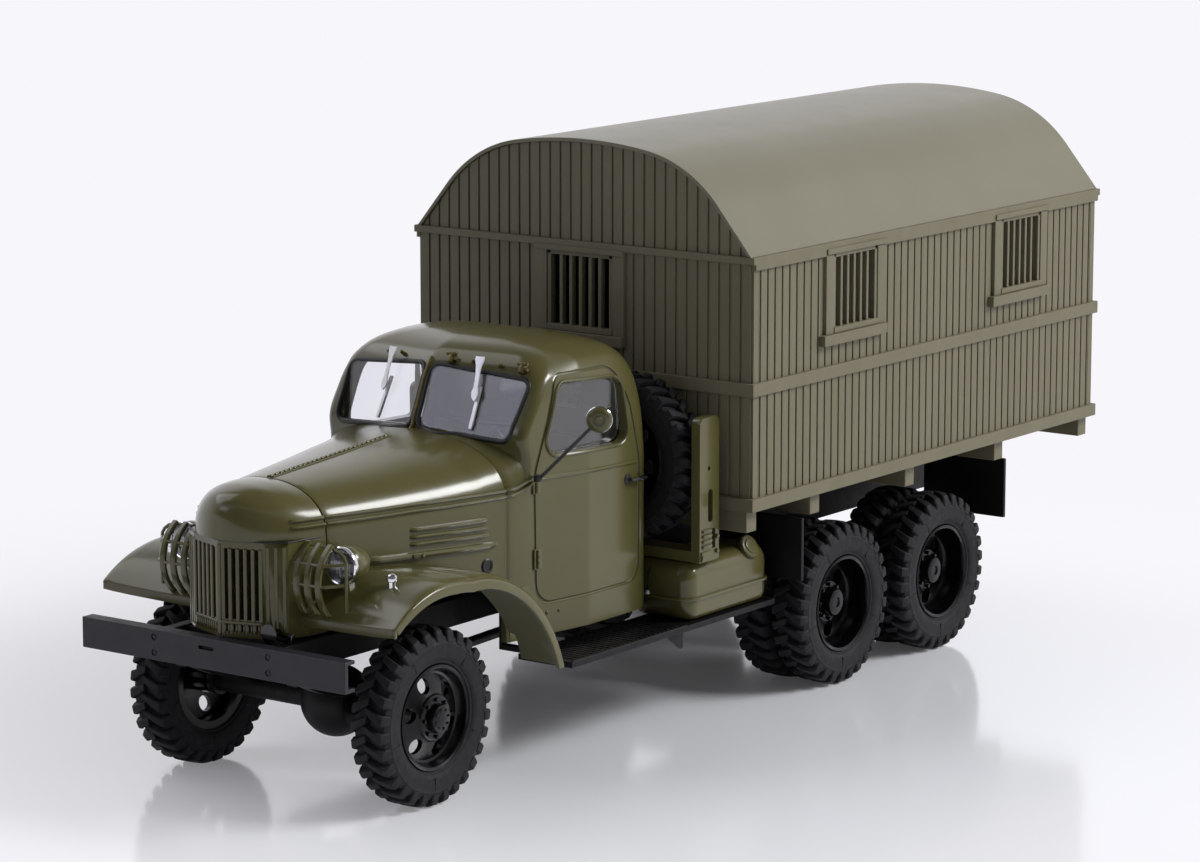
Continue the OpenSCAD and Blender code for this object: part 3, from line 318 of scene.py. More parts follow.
def ends_in(tree, geometry, group_in, group_out):
    """Closes a tree: its instances made real and painted."""
    real = tree.nodes.new("GeometryNodeRealizeInstances")
    paint = tree.nodes.new("GeometryNodeSetMaterial")
    wire(tree, geometry, real.inputs["Geometry"])
    wire(tree, real.outputs["Geometry"], paint.inputs["Geometry"])
    wire(tree, group_in.outputs["Finish"], paint.inputs["Material"])
    wire(tree, paint.outputs["Geometry"], group_out.inputs["Geometry"])


def ring_tree():
    """Copies of one shape turned evenly about the X axis."""
    tree = node_group("ring_round_axle", [
        ("Shape", "Object", None), ("Count", "Int", 6), ("Phase", "Float", 0.0), ("Finish", "Material", None),
    ])
    group_in = tree.nodes.new("NodeGroupInput")
    group_out = tree.nodes.new("NodeGroupOutput")
    line = tree.nodes.new("GeometryNodeMeshLine")
    shape = tree.nodes.new("GeometryNodeObjectInfo")
    index = tree.nodes.new("GeometryNodeInputIndex")
    share = tree.nodes.new("ShaderNodeMath")
    share.operation = "DIVIDE"
    angle = tree.nodes.new("ShaderNodeMath")
    angle.operation = "MULTIPLY_ADD"
    angle.inputs[1].default_value = math.tau
    turn = tree.nodes.new("ShaderNodeCombineXYZ")
    copies = tree.nodes.new("GeometryNodeInstanceOnPoints")
    line.inputs["Offset"].default_value = (0, 0, 0)
    wire(tree, group_in.outputs["Count"], line.inputs["Count"])
    wire(tree, group_in.outputs["Shape"], shape.inputs["Object"])
    wire(tree, index.outputs[0], share.inputs[0])
    wire(tree, group_in.outputs["Count"], share.inputs[1])
    wire(tree, share.outputs[0], angle.inputs[0])
    wire(tree, group_in.outputs["Phase"], angle.inputs[2])
    wire(tree, angle.outputs[0], turn.inputs["X"])
    wire(tree, line.outputs["Mesh"], copies.inputs["Points"])
    wire(tree, shape.outputs["Geometry"], copies.inputs["Instance"])
    wire(tree, turn.outputs[0], copies.inputs["Rotation"])
    ends_in(tree, copies.outputs["Instances"], group_in, group_out)
    return tree


def row_tree():
    """Copies of one shape in a straight row."""
    tree = node_group("straight_row", [
        ("Shape", "Object", None), ("Count", "Int", 6), ("Start", "Vector", (0, 0, 0)),
        ("Pitch", "Vector", (0, 0, 1)), ("Finish", "Material", None),
    ])
    group_in = tree.nodes.new("NodeGroupInput")
    group_out = tree.nodes.new("NodeGroupOutput")
    line = tree.nodes.new("GeometryNodeMeshLine")
    shape = tree.nodes.new("GeometryNodeObjectInfo")
    copies = tree.nodes.new("GeometryNodeInstanceOnPoints")
    wire(tree, group_in.outputs["Count"], line.inputs["Count"])
    wire(tree, group_in.outputs["Start"], line.inputs["Start Location"])
    wire(tree, group_in.outputs["Pitch"], line.inputs["Offset"])
    wire(tree, group_in.outputs["Shape"], shape.inputs["Object"])
    wire(tree, line.outputs["Mesh"], copies.inputs["Points"])
    wire(tree, shape.outputs["Geometry"], copies.inputs["Instance"])
    ends_in(tree, copies.outputs["Instances"], group_in, group_out)
    return tree


def points_tree():
    """One shape at each point of a mesh, turned so that its own Z follows the point's normal."""
    tree = node_group("studs_on_points", [("Shape", "Object", None), ("Finish", "Material", None)])
    group_in = tree.nodes.new("NodeGroupInput")
    group_out = tree.nodes.new("NodeGroupOutput")
    shape = tree.nodes.new("GeometryNodeObjectInfo")
    outwards = tree.nodes.new("GeometryNodeInputNamedAttribute")
    outwards.data_type = "FLOAT_VECTOR"
    outwards.inputs["Name"].default_value = "outwards"
    align = tree.nodes.new("FunctionNodeAlignRotationToVector")
    copies = tree.nodes.new("GeometryNodeInstanceOnPoints")
    wire(tree, group_in.outputs["Shape"], shape.inputs["Object"])
    wire(tree, outwards.outputs["Attribute"], align.inputs["Vector"])
    wire(tree, group_in.outputs["Geometry"], copies.inputs["Points"])
    wire(tree, shape.outputs["Geometry"], copies.inputs["Instance"])
    wire(tree, align.outputs["Rotation"], copies.inputs["Rotation"])
    ends_in(tree, copies.outputs["Instances"], group_in, group_out)
    return tree


def bead_tree():
    """A round bead along a path."""
    tree = node_group("bead_along_path", [
        ("Radius", "Float", 0.2), ("Sides", "Int", 8), ("Finish", "Material", None),
    ])
    group_in = tree.nodes.new("NodeGroupInput")
    group_out = tree.nodes.new("NodeGroupOutput")
    path = tree.nodes.new("GeometryNodeMeshToCurve")
    section = tree.nodes.new("GeometryNodeCurvePrimitiveCircle")
    sweep = tree.nodes.new("GeometryNodeCurveToMesh")
    sweep.inputs["Fill Caps"].default_value = True
    wire(tree, group_in.outputs["Geometry"], path.inputs["Mesh"])
    wire(tree, group_in.outputs["Sides"], section.inputs["Resolution"])
    wire(tree, group_in.outputs["Radius"], section.inputs["Radius"])
    wire(tree, path.outputs["Curve"], sweep.inputs["Curve"])
    wire(tree, section.outputs["Curve"], sweep.inputs["Profile Curve"])
    ends_in(tree, sweep.outputs["Mesh"], group_in, group_out)
    return tree


RING = ring_tree()
ROW = row_tree()
STUDS = points_tree()
BEAD = bead_tree()


def grown(tree, base=None, shape=None, **values):
    """What a tree makes from a base mesh and its named inputs, as a bmesh."""
    carrier = linked("grown", base or bpy.data.meshes.new("grown"))
    mod = carrier.modifiers.new("tree", "NODES")
    mod.node_group = tree
    source = linked("repeated", as_mesh(shape)) if shape else None
    if source:
        values["Shape"] = source
    for item in tree.interface.items_tree:
        if item.in_out == "INPUT" and item.name in values:
            mod[item.identifier] = values[item.name]
    bpy.context.view_layer.update()
    bm = bmesh.new()
    bm.from_mesh(evaluated(carrier))
    bmesh.ops.remove_doubles(bm, verts=bm.verts, dist=1e-5)
    for obj in [carrier, source]:
        if obj:
            bpy.data.objects.remove(obj)
    return bm


def path_mesh(points, closed=False):
    mesh = bpy.data.meshes.new("path")
    edges = [(i, i + 1) for i in range(len(points) - 1)]
    mesh.from_pydata([tuple(p) for p in points], edges + ([(len(points) - 1, 0)] if closed else []), [])
    return mesh


def bead(points, radius, closed=False, sides=8):
    """A round bead along points."""
    bm = grown(BEAD, path_mesh(points, closed), Radius=radius, Sides=sides)
    bmesh.ops.recalc_face_normals(bm, faces=bm.faces)
    return bm


def ring_of(shape, count, phase=0.0):
    return grown(RING, shape=shape, Count=count, Phase=phase)


def row_of(shape, count, start, pitch):
    return grown(ROW, shape=shape, Count=count, Start=start, Pitch=pitch)


def studs(shape, places):
    """The shape at each (point, outward direction)."""
    base = bpy.data.meshes.new("places")
    base.from_pydata([tuple(p) for p, _ in places], [], [])
    outwards = base.attributes.new("outwards", "FLOAT_VECTOR", "POINT")
    outwards.data.foreach_set("vector", [c for _, d in places for c in Vector(d).normalized()])
    return grown(STUDS, base, shape=shape)


def dome(radius, height, steps=10):
    """A rivet's head on the x-y plane."""
    bm = bmesh.new()
    bmesh.ops.create_uvsphere(bm, u_segments=steps, v_segments=6, radius=1)
    bm.transform(Matrix.Diagonal((radius, radius, height, 1)))
    return bm


def hexagon(radius, height, soft=0.05):
    """A nut's or a bolt's head on the x-y plane."""
    bm = bmesh.new()
    bmesh.ops.create_cone(bm, cap_ends=True, segments=6, radius1=radius, radius2=radius, depth=height)
    bm.transform(Matrix.Translation((0, 0, height / 2)))
    return rounded_edges(bm, soft, segments=1)


def drum(radius, height, steps=24, soft=0.0):
    """A round disc on the x-y plane."""
    bm = bmesh.new()
    bmesh.ops.create_cone(bm, cap_ends=True, segments=steps, radius1=radius, radius2=radius, depth=height)
    bm.transform(Matrix.Translation((0, 0, height / 2)))
    return rounded_edges(bm, soft, segments=2) if soft else bm


# Finishes

def srgb(r, g, b):
    """A colour as it looks on screen, from 0 to 255, as the shader takes it."""
    def linear(c):
        c /= 255
        return c / 12.92 if c <= 0.04045 else ((c + 0.055) / 1.055) ** 2.4
    return (linear(r), linear(g), linear(b), 1)


# The part of the noise's range that shades and roughness spread over
NOISE_LOW, NOISE_HIGH = 0.3, 0.7


class Finish:
    """A material whose colour, roughness and relief come from noise on the object's own coordinates."""

    def __init__(self, name):
        self.material = bpy.data.materials.new(name)
        self.material.use_nodes = True
        self.tree = self.material.node_tree
        self.shader = self.tree.nodes["Principled BSDF"]
        self.place = self.tree.nodes.new("ShaderNodeTexCoord").outputs["Object"]

    def set(self, **sockets):
        for label, value in sockets.items():
            self.shader.inputs[label.replace("_", " ")].default_value = value
        return self

    def noise(self, size_mm, detail=3.0, stretch=(1, 1, 1)):
        """Noise whose features are about size_mm across, drawn out along an axis by stretch."""
        spread = self.tree.nodes.new("ShaderNodeMapping")
        spread.inputs["Scale"].default_value = tuple(1 / s for s in stretch)
        noise = self.tree.nodes.new("ShaderNodeTexNoise")
        noise.inputs["Scale"].default_value = 1 / (size_mm * MM)
        noise.inputs["Detail"].default_value = detail
        self.tree.links.new(self.place, spread.inputs["Vector"])
        self.tree.links.new(spread.outputs["Vector"], noise.inputs["Vector"])
        return noise.outputs["Fac"]

    def shades(self, dark, light, size_mm, detail=3.0, stretch=(1, 1, 1)):
        """Base colour that drifts between two shades."""
        ramp = self.tree.nodes.new("ShaderNodeValToRGB")
        ramp.color_ramp.elements[0].position = NOISE_LOW
        ramp.color_ramp.elements[0].color = dark
        ramp.color_ramp.elements[1].position = NOISE_HIGH
        ramp.color_ramp.elements[1].color = light
        self.tree.links.new(self.noise(size_mm, detail, stretch), ramp.inputs["Fac"])
        self.tree.links.new(ramp.outputs["Color"], self.shader.inputs["Base Color"])
        return self

    def roughness(self, low, high, size_mm):
        """Roughness that drifts between two values."""
        spread = self.tree.nodes.new("ShaderNodeMapRange")
        spread.inputs["To Min"].default_value = low
        spread.inputs["To Max"].default_value = high
        spread.inputs["From Min"].default_value = NOISE_LOW
        spread.inputs["From Max"].default_value = NOISE_HIGH
        self.tree.links.new(self.noise(size_mm), spread.inputs["Value"])
        self.tree.links.new(spread.outputs["Result"], self.shader.inputs["Roughness"])
        return self

    def relief(self, height_mm, size_mm, detail=2.0, stretch=(1, 1, 1)):
        """A fine grain in the surface."""
        bump = self.tree.nodes.new("ShaderNodeBump")
        bump.inputs["Strength"].default_value = 1.0
        bump.inputs["Distance"].default_value = height_mm * MM
        self.tree.links.new(self.noise(size_mm, detail, stretch), bump.inputs["Height"])
        self.tree.links.new(bump.outputs["Normal"], self.shader.inputs["Normal"])
        return self


def cab_gloss():
    return Finish("cab_gloss").set(Coat_Weight=0.8, Coat_Roughness=0.16, Specular_IOR_Level=0.1).shades(
        srgb(80, 76, 42), srgb(84, 80, 45), 12).roughness(0.3, 0.36, 6).relief(0.0008, 1.5).material


def van_satin():
    return Finish("van_satin").set(Specular_IOR_Level=0.35).shades(
        srgb(104, 99, 79), srgb(109, 104, 84), 5, stretch=(1, 1, 6)).roughness(0.5, 0.6, 2).relief(
            0.006, 0.3).material


def roof_satin():
    return Finish("roof_satin").set(Specular_IOR_Level=0.5).shades(
        srgb(104, 100, 79), srgb(108, 104, 83), 11).roughness(0.3, 0.33, 6).relief(0.0008, 1.5).material


def chassis_plastic():
    return Finish("chassis_plastic").set(Specular_IOR_Level=0.25).shades(
        srgb(9, 9, 11), srgb(14, 14, 16), 3).roughness(0.42, 0.55, 1.2).relief(0.01, 0.25).material


def bumper_plastic():
    return Finish("bumper_plastic").set(Specular_IOR_Level=0.4).shades(
        srgb(28, 28, 35), srgb(33, 33, 41), 6).roughness(0.42, 0.52, 1.5).relief(0.008, 0.25).material


def tyre_rubber():
    return Finish("tyre_rubber").set(Specular_IOR_Level=0.3).shades(
        srgb(22, 22, 25), srgb(30, 30, 33), 1.4, detail=5).roughness(0.62, 0.78, 0.8).relief(
            0.02, 0.2, 3).material


def wheel_plastic():
    return Finish("wheel_plastic").set(Specular_IOR_Level=0.3).shades(
        srgb(3, 3, 4), srgb(6, 6, 8), 2).roughness(0.18, 0.25, 1).relief(0.004, 0.2).material


def gasket_rubber():
    return Finish("gasket_rubber").shades(
        srgb(9, 9, 9), srgb(14, 14, 13), 1).roughness(0.4, 0.5, 0.6).relief(0.006, 0.15).material


def bright_plating():
    return Finish("bright_plating").set(Metallic=1.0).shades(
        srgb(218, 218, 222), srgb(232, 232, 235), 1).roughness(0.07, 0.16, 0.6).relief(0.003, 0.2).material


def etched_metal():
    return Finish("etched_metal").set(Metallic=0.55).shades(
        srgb(226, 226, 230), srgb(242, 242, 245), 0.8).roughness(0.28, 0.4, 0.4).relief(0.004, 0.12).material


def horn_gloss():
    return Finish("horn_gloss").set(Coat_Weight=0.2).shades(
        srgb(7, 7, 8), srgb(12, 12, 13), 1).roughness(0.1, 0.18, 0.5).relief(0.002, 0.2).material


def lamp_bowl():
    return Finish("lamp_bowl").set(Metallic=1.0).shades(
        srgb(96, 96, 100), srgb(116, 116, 120), 0.8).roughness(0.16, 0.26, 0.5).relief(0.003, 0.2).material


def clear_pane():
    return Finish("clear_pane").set(Transmission_Weight=0.99, IOR=1.5).shades(
        srgb(249, 250, 253), srgb(252, 253, 255), 8).roughness(0.01, 0.04, 3).material


# Near-black glossy panes for the van's windows: painted shade of the dark inside behind them
def painted_shade_pane():
    return Finish("painted_shade_pane").set(Specular_IOR_Level=0.2).shades(
        srgb(5, 5, 6), srgb(9, 9, 11), 5).roughness(0.2, 0.3, 2).material


def aged_brass():
    return Finish("aged_brass").set(Metallic=0.6).shades(
        srgb(82, 74, 44), srgb(104, 92, 54), 0.7).roughness(0.26, 0.4, 0.4).relief(0.006, 0.12).material


def seat_plastic():
    return Finish("seat_plastic").shades(
        srgb(38, 33, 28), srgb(48, 42, 35), 2).roughness(0.5, 0.62, 0.8).relief(0.02, 0.3).material


PAINT = cab_gloss()
VAN = van_satin()
ROOF = roof_satin()
BLACK = chassis_plastic()
BUMPER = bumper_plastic()
RUBBER = tyre_rubber()
WHEEL = wheel_plastic()
GASKET = gasket_rubber()
CHROME = bright_plating()
ETCHED = etched_metal()
HORN = horn_gloss()
BOWL = lamp_bowl()
GLASS = clear_pane()
BRASS = aged_brass()
PAINTED_SHADE_GLASS = painted_shade_pane()
SEAT = seat_plastic()


# Wheels

RIM_R = 6.9
RIM_HOLES = 6
RIM_NUTS = 8
RIM_STEPS = 72
TYRE_STEPS = 120
SIDEWALL_RIBS = 5
OUTER_HUB, INNER_HUB = 1.2, 2.0
SPARE_SQUEEZE = 0.82
LUG_COUNT = 30
LUG_TRAIL = 9
LUG_DEPTH = 0.8
CARCASS_R = TYRE_R - LUG_DEPTH
HALF_W = TYRE_W / 2

# The tyre's outline from bead to tread on one side: radius, across
SIDEWALL = [
    (RIM_R, HALF_W - 0.62), (RIM_R + 0.18, HALF_W - 0.42), (RIM_R + 0.42, HALF_W - 0.4),
    (RIM_R + 0.55, HALF_W - 0.26), (RIM_R + 1.1, HALF_W - 0.1), (RIM_R + 1.9, HALF_W - 0.03),
    (RIM_R + 2.5, HALF_W - 0.06), (RIM_R + 2.62, HALF_W - 0.02), (RIM_R + 2.8, HALF_W - 0.1),
    (CARCASS_R - 0.35, HALF_W - 0.36), (CARCASS_R, HALF_W - 0.95),
]

# A lug from the tread's middle over the shoulder: across, radius, lead along the tread, half width
LUG = [
    (-0.15, TYRE_R, 1.15, 0.46), (0.9, TYRE_R, 0.62, 0.55), (1.85, TYRE_R - 0.06, 0.16, 0.63),
    (HALF_W - 0.3, TYRE_R - 0.3, 0, 0.68), (HALF_W - 0.04, TYRE_R - 0.9, 0, 0.68),
    (HALF_W, TYRE_R - 1.75, 0, 0.6),
]


def tyre_lug():
    """One bar of the tread on the tyre's +X half, leaning forwards to the middle."""
    rings = []
    for i, (x, r, lead, half) in enumerate(LUG):
        shoulder = i > 2
        deep_x, deep_r = (x - 0.55, r - 0.25) if shoulder else (x, r - LUG_DEPTH - 0.15)
        ring = []
        near_x, near_r = (x - 0.12, r - 0.08) if shoulder else (x, r - 0.16)
        corners = ((deep_x, deep_r, 1.1), (near_x, near_r, 1.0), (x, r, 0.74))
        for side, order in ((-1, corners), (1, corners[::-1])):
            for px, pr, spread in order:
                a = (lead + side * half * spread) / pr
                ring.append((px, pr * math.sin(a), pr * math.cos(a)))
        rings.append(ring)
    return closed_loft(rings)


def tyre():
    """A cross-country tyre about the X axis: its carcass and two staggered rows of lugs."""
    outline = SIDEWALL + [(r, -x) for r, x in reversed(SIDEWALL)]
    lugs = ring_of(tyre_lug(), LUG_COUNT)
    other = moved(ring_of(tyre_lug(), LUG_COUNT), turned("X", 180 / LUG_COUNT) @ MIRROR_X)
    rib = block((HALF_W - 0.14, -0.05, RIM_R + 0.75), (HALF_W, 0.05, RIM_R + 2.45), 0.02)
    ribs = ring_of(rib, SIDEWALL_RIBS, 0.4)
    mirrored_ribs = mirrored(ribs)
    whole = joined(spun(outline, TYRE_STEPS), lugs, other, ribs, mirrored_ribs)
    return moved(whole, turned("X", LUG_TRAIL))


# Outlines of the rims, from the lip inwards: radius, across
LIP = [(RIM_R - 0.02, 2.02), (RIM_R - 0.12, 2.28), (RIM_R - 0.34, 2.36),
       (RIM_R - 0.56, 2.24), (RIM_R - 0.66, 1.96)]
BORE_R = 0.96


def front_rim():
    """A convex disc with six holes, a stepped hub and its nuts, outer face towards +X."""
    outline = LIP + [
        (6.12, 1.5), (5.86, 1.12), (5.55, 1.02), (5.1, 1.14), (3.6, 1.66), (3.1, 1.92), (2.95, 2.2),
        (2.75, 2.3), (1.95, 2.34), (1.86, 2.9), (1.75, 3.22), (1.5, 3.36), (0, 3.4), (0, 3.05),
        (BORE_R, 3.05), (BORE_R, -2.2), (2.1, -2.2), (2.1, 1.1), (3.5, 1.0), (5.1, 0.5), (5.75, 0.3),
        (5.88, -0.2), (5.88, -2.02), (RIM_R - 0.02, -2.02),
    ]
    hole = moved(drum(1.02, 3, 20), shifted(-0.5, 0, 4.42) @ turned("Y", 90))
    disc = carved(spun(outline, RIM_STEPS), [ring_of(hole, RIM_HOLES, 0.3)])
    nut = moved(hexagon(0.3, 0.4), shifted(2.26, 0, 2.42) @ turned("Y", 90))
    cap_bolt = moved(hexagon(0.2, 0.2), shifted(3.3, 0, 1.28) @ turned("Y", 90))
    return joined(disc, ring_of(nut, RIM_NUTS), ring_of(cap_bolt, RIM_NUTS, 0.2))


def dished_rim(hub_out):
    """A deep dished disc with six holes and its nuts, outer face towards +X."""
    outline = LIP + [
        (6.14, 1.5), (5.98, 0.4), (5.86, -0.45), (5.5, -0.9), (5.0, -0.98), (3.5, -0.86), (3.05, -0.6),
        (2.85, -0.3), (2.1, -0.26), (1.95, hub_out - 0.5), (1.8, hub_out - 0.12), (1.5, hub_out),
        (0.7, hub_out), (0.6, hub_out - 0.2), (0, hub_out - 0.22), (0, hub_out - 0.3),
        (BORE_R, hub_out - 0.3), (BORE_R, -3), (2.1, -3), (2.1, -1.5), (5.1, -1.6), (5.7, -1.5),
        (5.86, -1.7), (5.88, -2.02), (RIM_R - 0.02, -2.02),
    ]
    hole = moved(drum(1.12, 3, 20), shifted(-2.6, 0, 4.3) @ turned("Y", 90))
    disc = carved(spun(outline, RIM_STEPS), [ring_of(hole, RIM_HOLES, 0.2)])
    nut = moved(hexagon(0.3, 0.45), shifted(-0.3, 0, 2.48) @ turned("Y", 90))
    return joined(disc, ring_of(nut, RIM_NUTS))


def wheel_pieces():
    """Tyres and rims of the six wheels and of the two spares."""
    for side, flip in (("left", Matrix.Identity(4)), ("right", MIRROR_X)):
        place = flip @ shifted(FRONT_X, 0, TYRE_R)
        name = "front_" + side
        piece("tyre_" + name + "_lugged", moved(tyre(), place), RUBBER, "wheel_" + name,
              ["tyre_" + name])
        piece("rim_" + name + "_nuts", moved(front_rim(), place), WHEEL, "wheel_" + name,
              ["rim_" + name])
        for row, y in (("mid", MID_Y), ("rear", REAR_Y)):
            name = row + "_" + side
            outer = flip @ shifted(TWIN_OUT_X, y, TYRE_R)
            inner = flip @ shifted(TWIN_IN_X, y, TYRE_R)
            tyres = joined(moved(tyre(), outer), moved(tyre(), inner))
            piece("tyres_" + name + "_lugged", tyres, RUBBER, "wheel_" + name,
                  ["tyres_" + name])
            rims = joined(
                moved(dished_rim(OUTER_HUB), outer),
                moved(dished_rim(INNER_HUB), inner @ MIRROR_X),
            )
            piece("rims_" + name + "_nuts", rims, WHEEL, "wheel_" + name, ["rims_" + name])
    low, high = node_box("spare_tyres")
    spare_x = high.x - (front_high.y - front_low.y) / 2
    spare_y = (low.y + high.y) / 2 - AXLE_Y
    spare_z = (low.z + high.z) / 2
    places = [shifted(s * spare_x, spare_y, spare_z) @ turned("Z", -90) for s in (-1, 1)]
    piece("spare_tyres_lugged", joined(*[moved(tyre(), p) for p in places]), RUBBER, "truck",
          ["spare_tyres"])
    spare_rims = joined(*[moved(front_rim(), p @ Matrix.Diagonal((SPARE_SQUEEZE, 1, 1, 1))) for p in places])
    piece("spare_rims_nuts", spare_rims, WHEEL, "truck", ["spare_rims"])


wheel_pieces()


# Bonnet and nose

SEAM = 0.1
SEAM_TOP_SHARE = 0.12
BONNET_BASE_Z = 34.8
BONNET_LOW_Z = 25.0
BONNET_T = 1.0
NOSE_Y = -7.5
COWL_Y = 21.0

# Sections of the bonnet and of its nose: y, half width, top
BONNET = [(NOSE_Y, 9.45, 41.1), (0, 11.4, 41.6), (7, 13.1, 42.1), (14, 14.7, 42.7), (COWL_Y, 15.95, 43.2)]
NOSE = [
    (-17.32, 0.5, 37.3), (-17.3, 0.95, 37.9), (-17.05, 2.1, 38.8), (-16.5, 3.5, 39.6), (-15.6, 5, 40.3),
    (-14.2, 6.5, 40.8), (-12.2, 7.9, 41.15), (-10, 8.75, 41.2), (NOSE_Y, 9.45, 41.1),
]


# How square the sections are and how far their tops fall to the sides: y, exponent, fall
FULLNESS = [
    (COWL_Y - 5, 2.2, 0), (COWL_Y, 2.5, 0.01), (COWL_Y + 1.5, 3.0, 0.03), (COWL_Y + 3, 4.0, 0.05),
    (COWL_Y + 4.5, 5.0, 0.05),
]


def crown(y, half, top, inset=0.0, top_share=1.0, steps=44):
    """A section's curve from its left base to its right, with top_share of the inset left on top."""
    ys, exponents, falls = zip(*FULLNESS)
    power = 2 / np.interp(y, ys, exponents)
    fall = np.interp(y, ys, falls)
    points = []
    for i in range(steps + 1):
        a = math.pi * i / steps
        up = math.sin(a) ** power if 0 < i < steps else 0
        kept = inset * (1 - (1 - top_share) * min(max((up - 0.4) / 0.3, 0), 1))
        x = math.copysign((half - kept) * abs(math.cos(a)) ** power, math.cos(a))
        points.append((x, y, BONNET_BASE_Z + (top - kept - BONNET_BASE_Z - fall * abs(x)) * up))
    return points


def with_soft_ends(rows, soft=0.16):
    """Rows of (y, half width, top, inset) whose two ends are drawn in to round the edges at a seam."""
    rows = [tuple(r[:3]) for r in rows]
    first, last = rows[0], rows[-1]
    inner = [(*r, 0.0) for r in rows[1:-1]]
    head = [(first[0] + SEAM, *first[1:], soft), (first[0] + SEAM + soft * 0.3, *first[1:], soft * 0.3),
            (first[0] + SEAM + soft, *first[1:], 0.0)]
    tail = [(last[0] - SEAM - soft, *last[1:], 0.0), (last[0] - SEAM - soft * 0.3, *last[1:], soft * 0.3),
            (last[0] - SEAM, *last[1:], soft)]
    return head + [r for r in inner if head[-1][0] < r[0] < tail[0][0]] + tail


def bonnet_half_w(y):
    """The bonnet's half width at y."""
    return float(np.interp(y, [r[0] for r in BONNET], [r[1] for r in BONNET]))


def bonnet_section(y, half, top, inset, top_share=1.0):
    """The bonnet's line at y from its left foot over the top to its right foot."""
    return ([(half - inset, y, BONNET_LOW_Z)] + crown(y, half, top, inset, top_share)
            + [(inset - half, y, BONNET_LOW_Z)])


def bonnet_shell():
    """The bonnet's sheet, open below."""
    rings = []
    for y, half, top, inset in with_soft_ends(smooth_rows(BONNET, 1.0)):
        share = SEAM_TOP_SHARE if y > COWL_Y / 2 else 1
        inner = bonnet_section(y, half, top, BONNET_T)
        rings.append(bonnet_section(y, half, top, inset, share) + inner[::-1])
    return closed_loft(rings)


def nose_dome():
    """The rounded nose, with a soft edge at its seam."""
    rows = smooth_rows(NOSE, 0.6)
    rows = [(*r[:3], 0.0) for r in rows[:-3]] + with_soft_ends(rows[-6:])[-3:]
    return closed_loft([crown(*row) for row in rows])


# Belt mouldings along the bonnet and the cowl: height at the nose, height at the cowl
BELTS = [(37.06, 36.7), (36.28, 35.95)]
BELT_R = 0.24
BELT_LIFT = 0.14
RIB_LIFT = 0.18
# Ribs pressed in the bonnet's side: first y, height there, last y, height there, radius
RIBS = [(5.2, 33.74, 17.7, 33.42, 0.3), (5.2, 32.84, 17.7, 32.42, 0.3), (5.2, 31.89, 17.9, 31.49, 0.3),
        (-1.4, 30.7, 19.4, 29.95, 0.44)]


def skin_tree(bm):
    """A shape's skin, for on_skin()."""
    return BVHTree.FromBMesh(bm)


def on_skin(tree, points, direction, lift=0.0):
    """The points carried along a direction on to a skin, then lifted off it along the skin's normal."""
    direction = Vector(direction).normalized()
    carried = []
    for point in points:
        hit, normal, _, _ = tree.ray_cast(Vector(point), direction)
        if hit is not None:
            carried.append(hit + normal * lift)
    return carried


def between(a, b, count):
    """Points evenly spaced from a to b."""
    return [Vector(a).lerp(Vector(b), i / (count - 1)) for i in range(count)]


OUTSIDE_X = 40.0
FROM_LEFT = (-1, 0, 0)
HINGE_KNUCKLES = 26


def bonnet_piece():
    """The bonnet with its belts and ribs, its hinge, catches and plugs."""
    shell = bonnet_shell()
    skin = skin_tree(shell)
    beads = []
    for z_front, z_back in BELTS:
        line = between((OUTSIDE_X, NOSE_Y + 0.2, z_front), (OUTSIDE_X, COWL_Y - 0.2, z_back), 40)
        beads.append(bead(on_skin(skin, line, FROM_LEFT, BELT_LIFT), BELT_R))
    for y0, z0, y1, z1, r in RIBS:
        line = on_skin(skin, between((OUTSIDE_X, y0, z0), (OUTSIDE_X, y1, z1), 24), FROM_LEFT, RIB_LIFT)
        sunk = Vector((-r - RIB_LIFT, 0, 0))
        beads.append(bead([line[0] + sunk] + line[1:-1] + [line[-1] + sunk], r))
    piece("bonnet_panels", joined(shell, *[both_sides(b) for b in beads]), PAINT,
          replaces=["bonnet"])

    # The piano hinge along the bonnet's middle
    solid_skin = skin_tree(solid_copy("bonnet"))
    top = on_skin(solid_skin, between((0, NOSE_Y + 0.4, 60), (0, 16.6, 60), 30), (0, 0, -1))
    leaves = joined(*[bead([p + Vector((s * 0.42, 0, 0.02)) for p in top], 0.13) for s in (-1, 1)])
    lift = (top[-1] - top[0]) / HINGE_KNUCKLES
    tilt = math.degrees(math.asin(lift.z / lift.length))
    knuckle = moved(drum(0.2, lift.length * 0.8, 10, 0.04), turned("X", -90 + tilt))
    knuckles = row_of(knuckle, HINGE_KNUCKLES, top[0] + Vector((0, 0, 0.08)), lift)
    piece("bonnet_hinge", joined(leaves, knuckles), PAINT)

    # The catch, and low on each side a dark ring round a dark disc that stands in for a hole: the disc is
    # painted shade
    hole, catch = on_skin(solid_skin, [(OUTSIDE_X, 17.6, 27.3), (OUTSIDE_X, 5.9, 30.4)], FROM_LEFT)
    ring = moved(spun([(0.62, 0.0), (0.62, 0.16), (0.82, 0.22), (0.98, 0.12), (0.98, 0.0)], 28),
                 Matrix.Translation(hole) @ turned("Z", -10))
    # The disc fills the ring: painted shade in place of the hole's dark inside
    hole_shade_disc = moved(drum(0.66, 0.1, 24),
                 Matrix.Translation(hole + Vector((-0.02, 0, 0))) @ turned("Z", -10) @ turned("Y", 90))
    piece("bonnet_plugs", both_sides(joined(ring, hole_shade_disc)), GASKET)
    latch = joined(
        moved(block((-0.1, -0.9, -0.28), (0.75, 0.9, 0.28), 0.12),
              Matrix.Translation(catch) @ turned("Z", -12)),
        moved(drum(0.3, 0.5, 14, 0.08), Matrix.Translation(catch + Vector((0.5, 0.5, 0))) @ turned("Y", 90)),
    )
    piece("bonnet_catches", both_sides(latch), PAINT)


# The grille's front in plan, from the middle to the bonnet's side
GRILLE = [(0, -17.2), (5.45, -15.4), (8.2, -13.4), (9.3, NOSE_Y)]


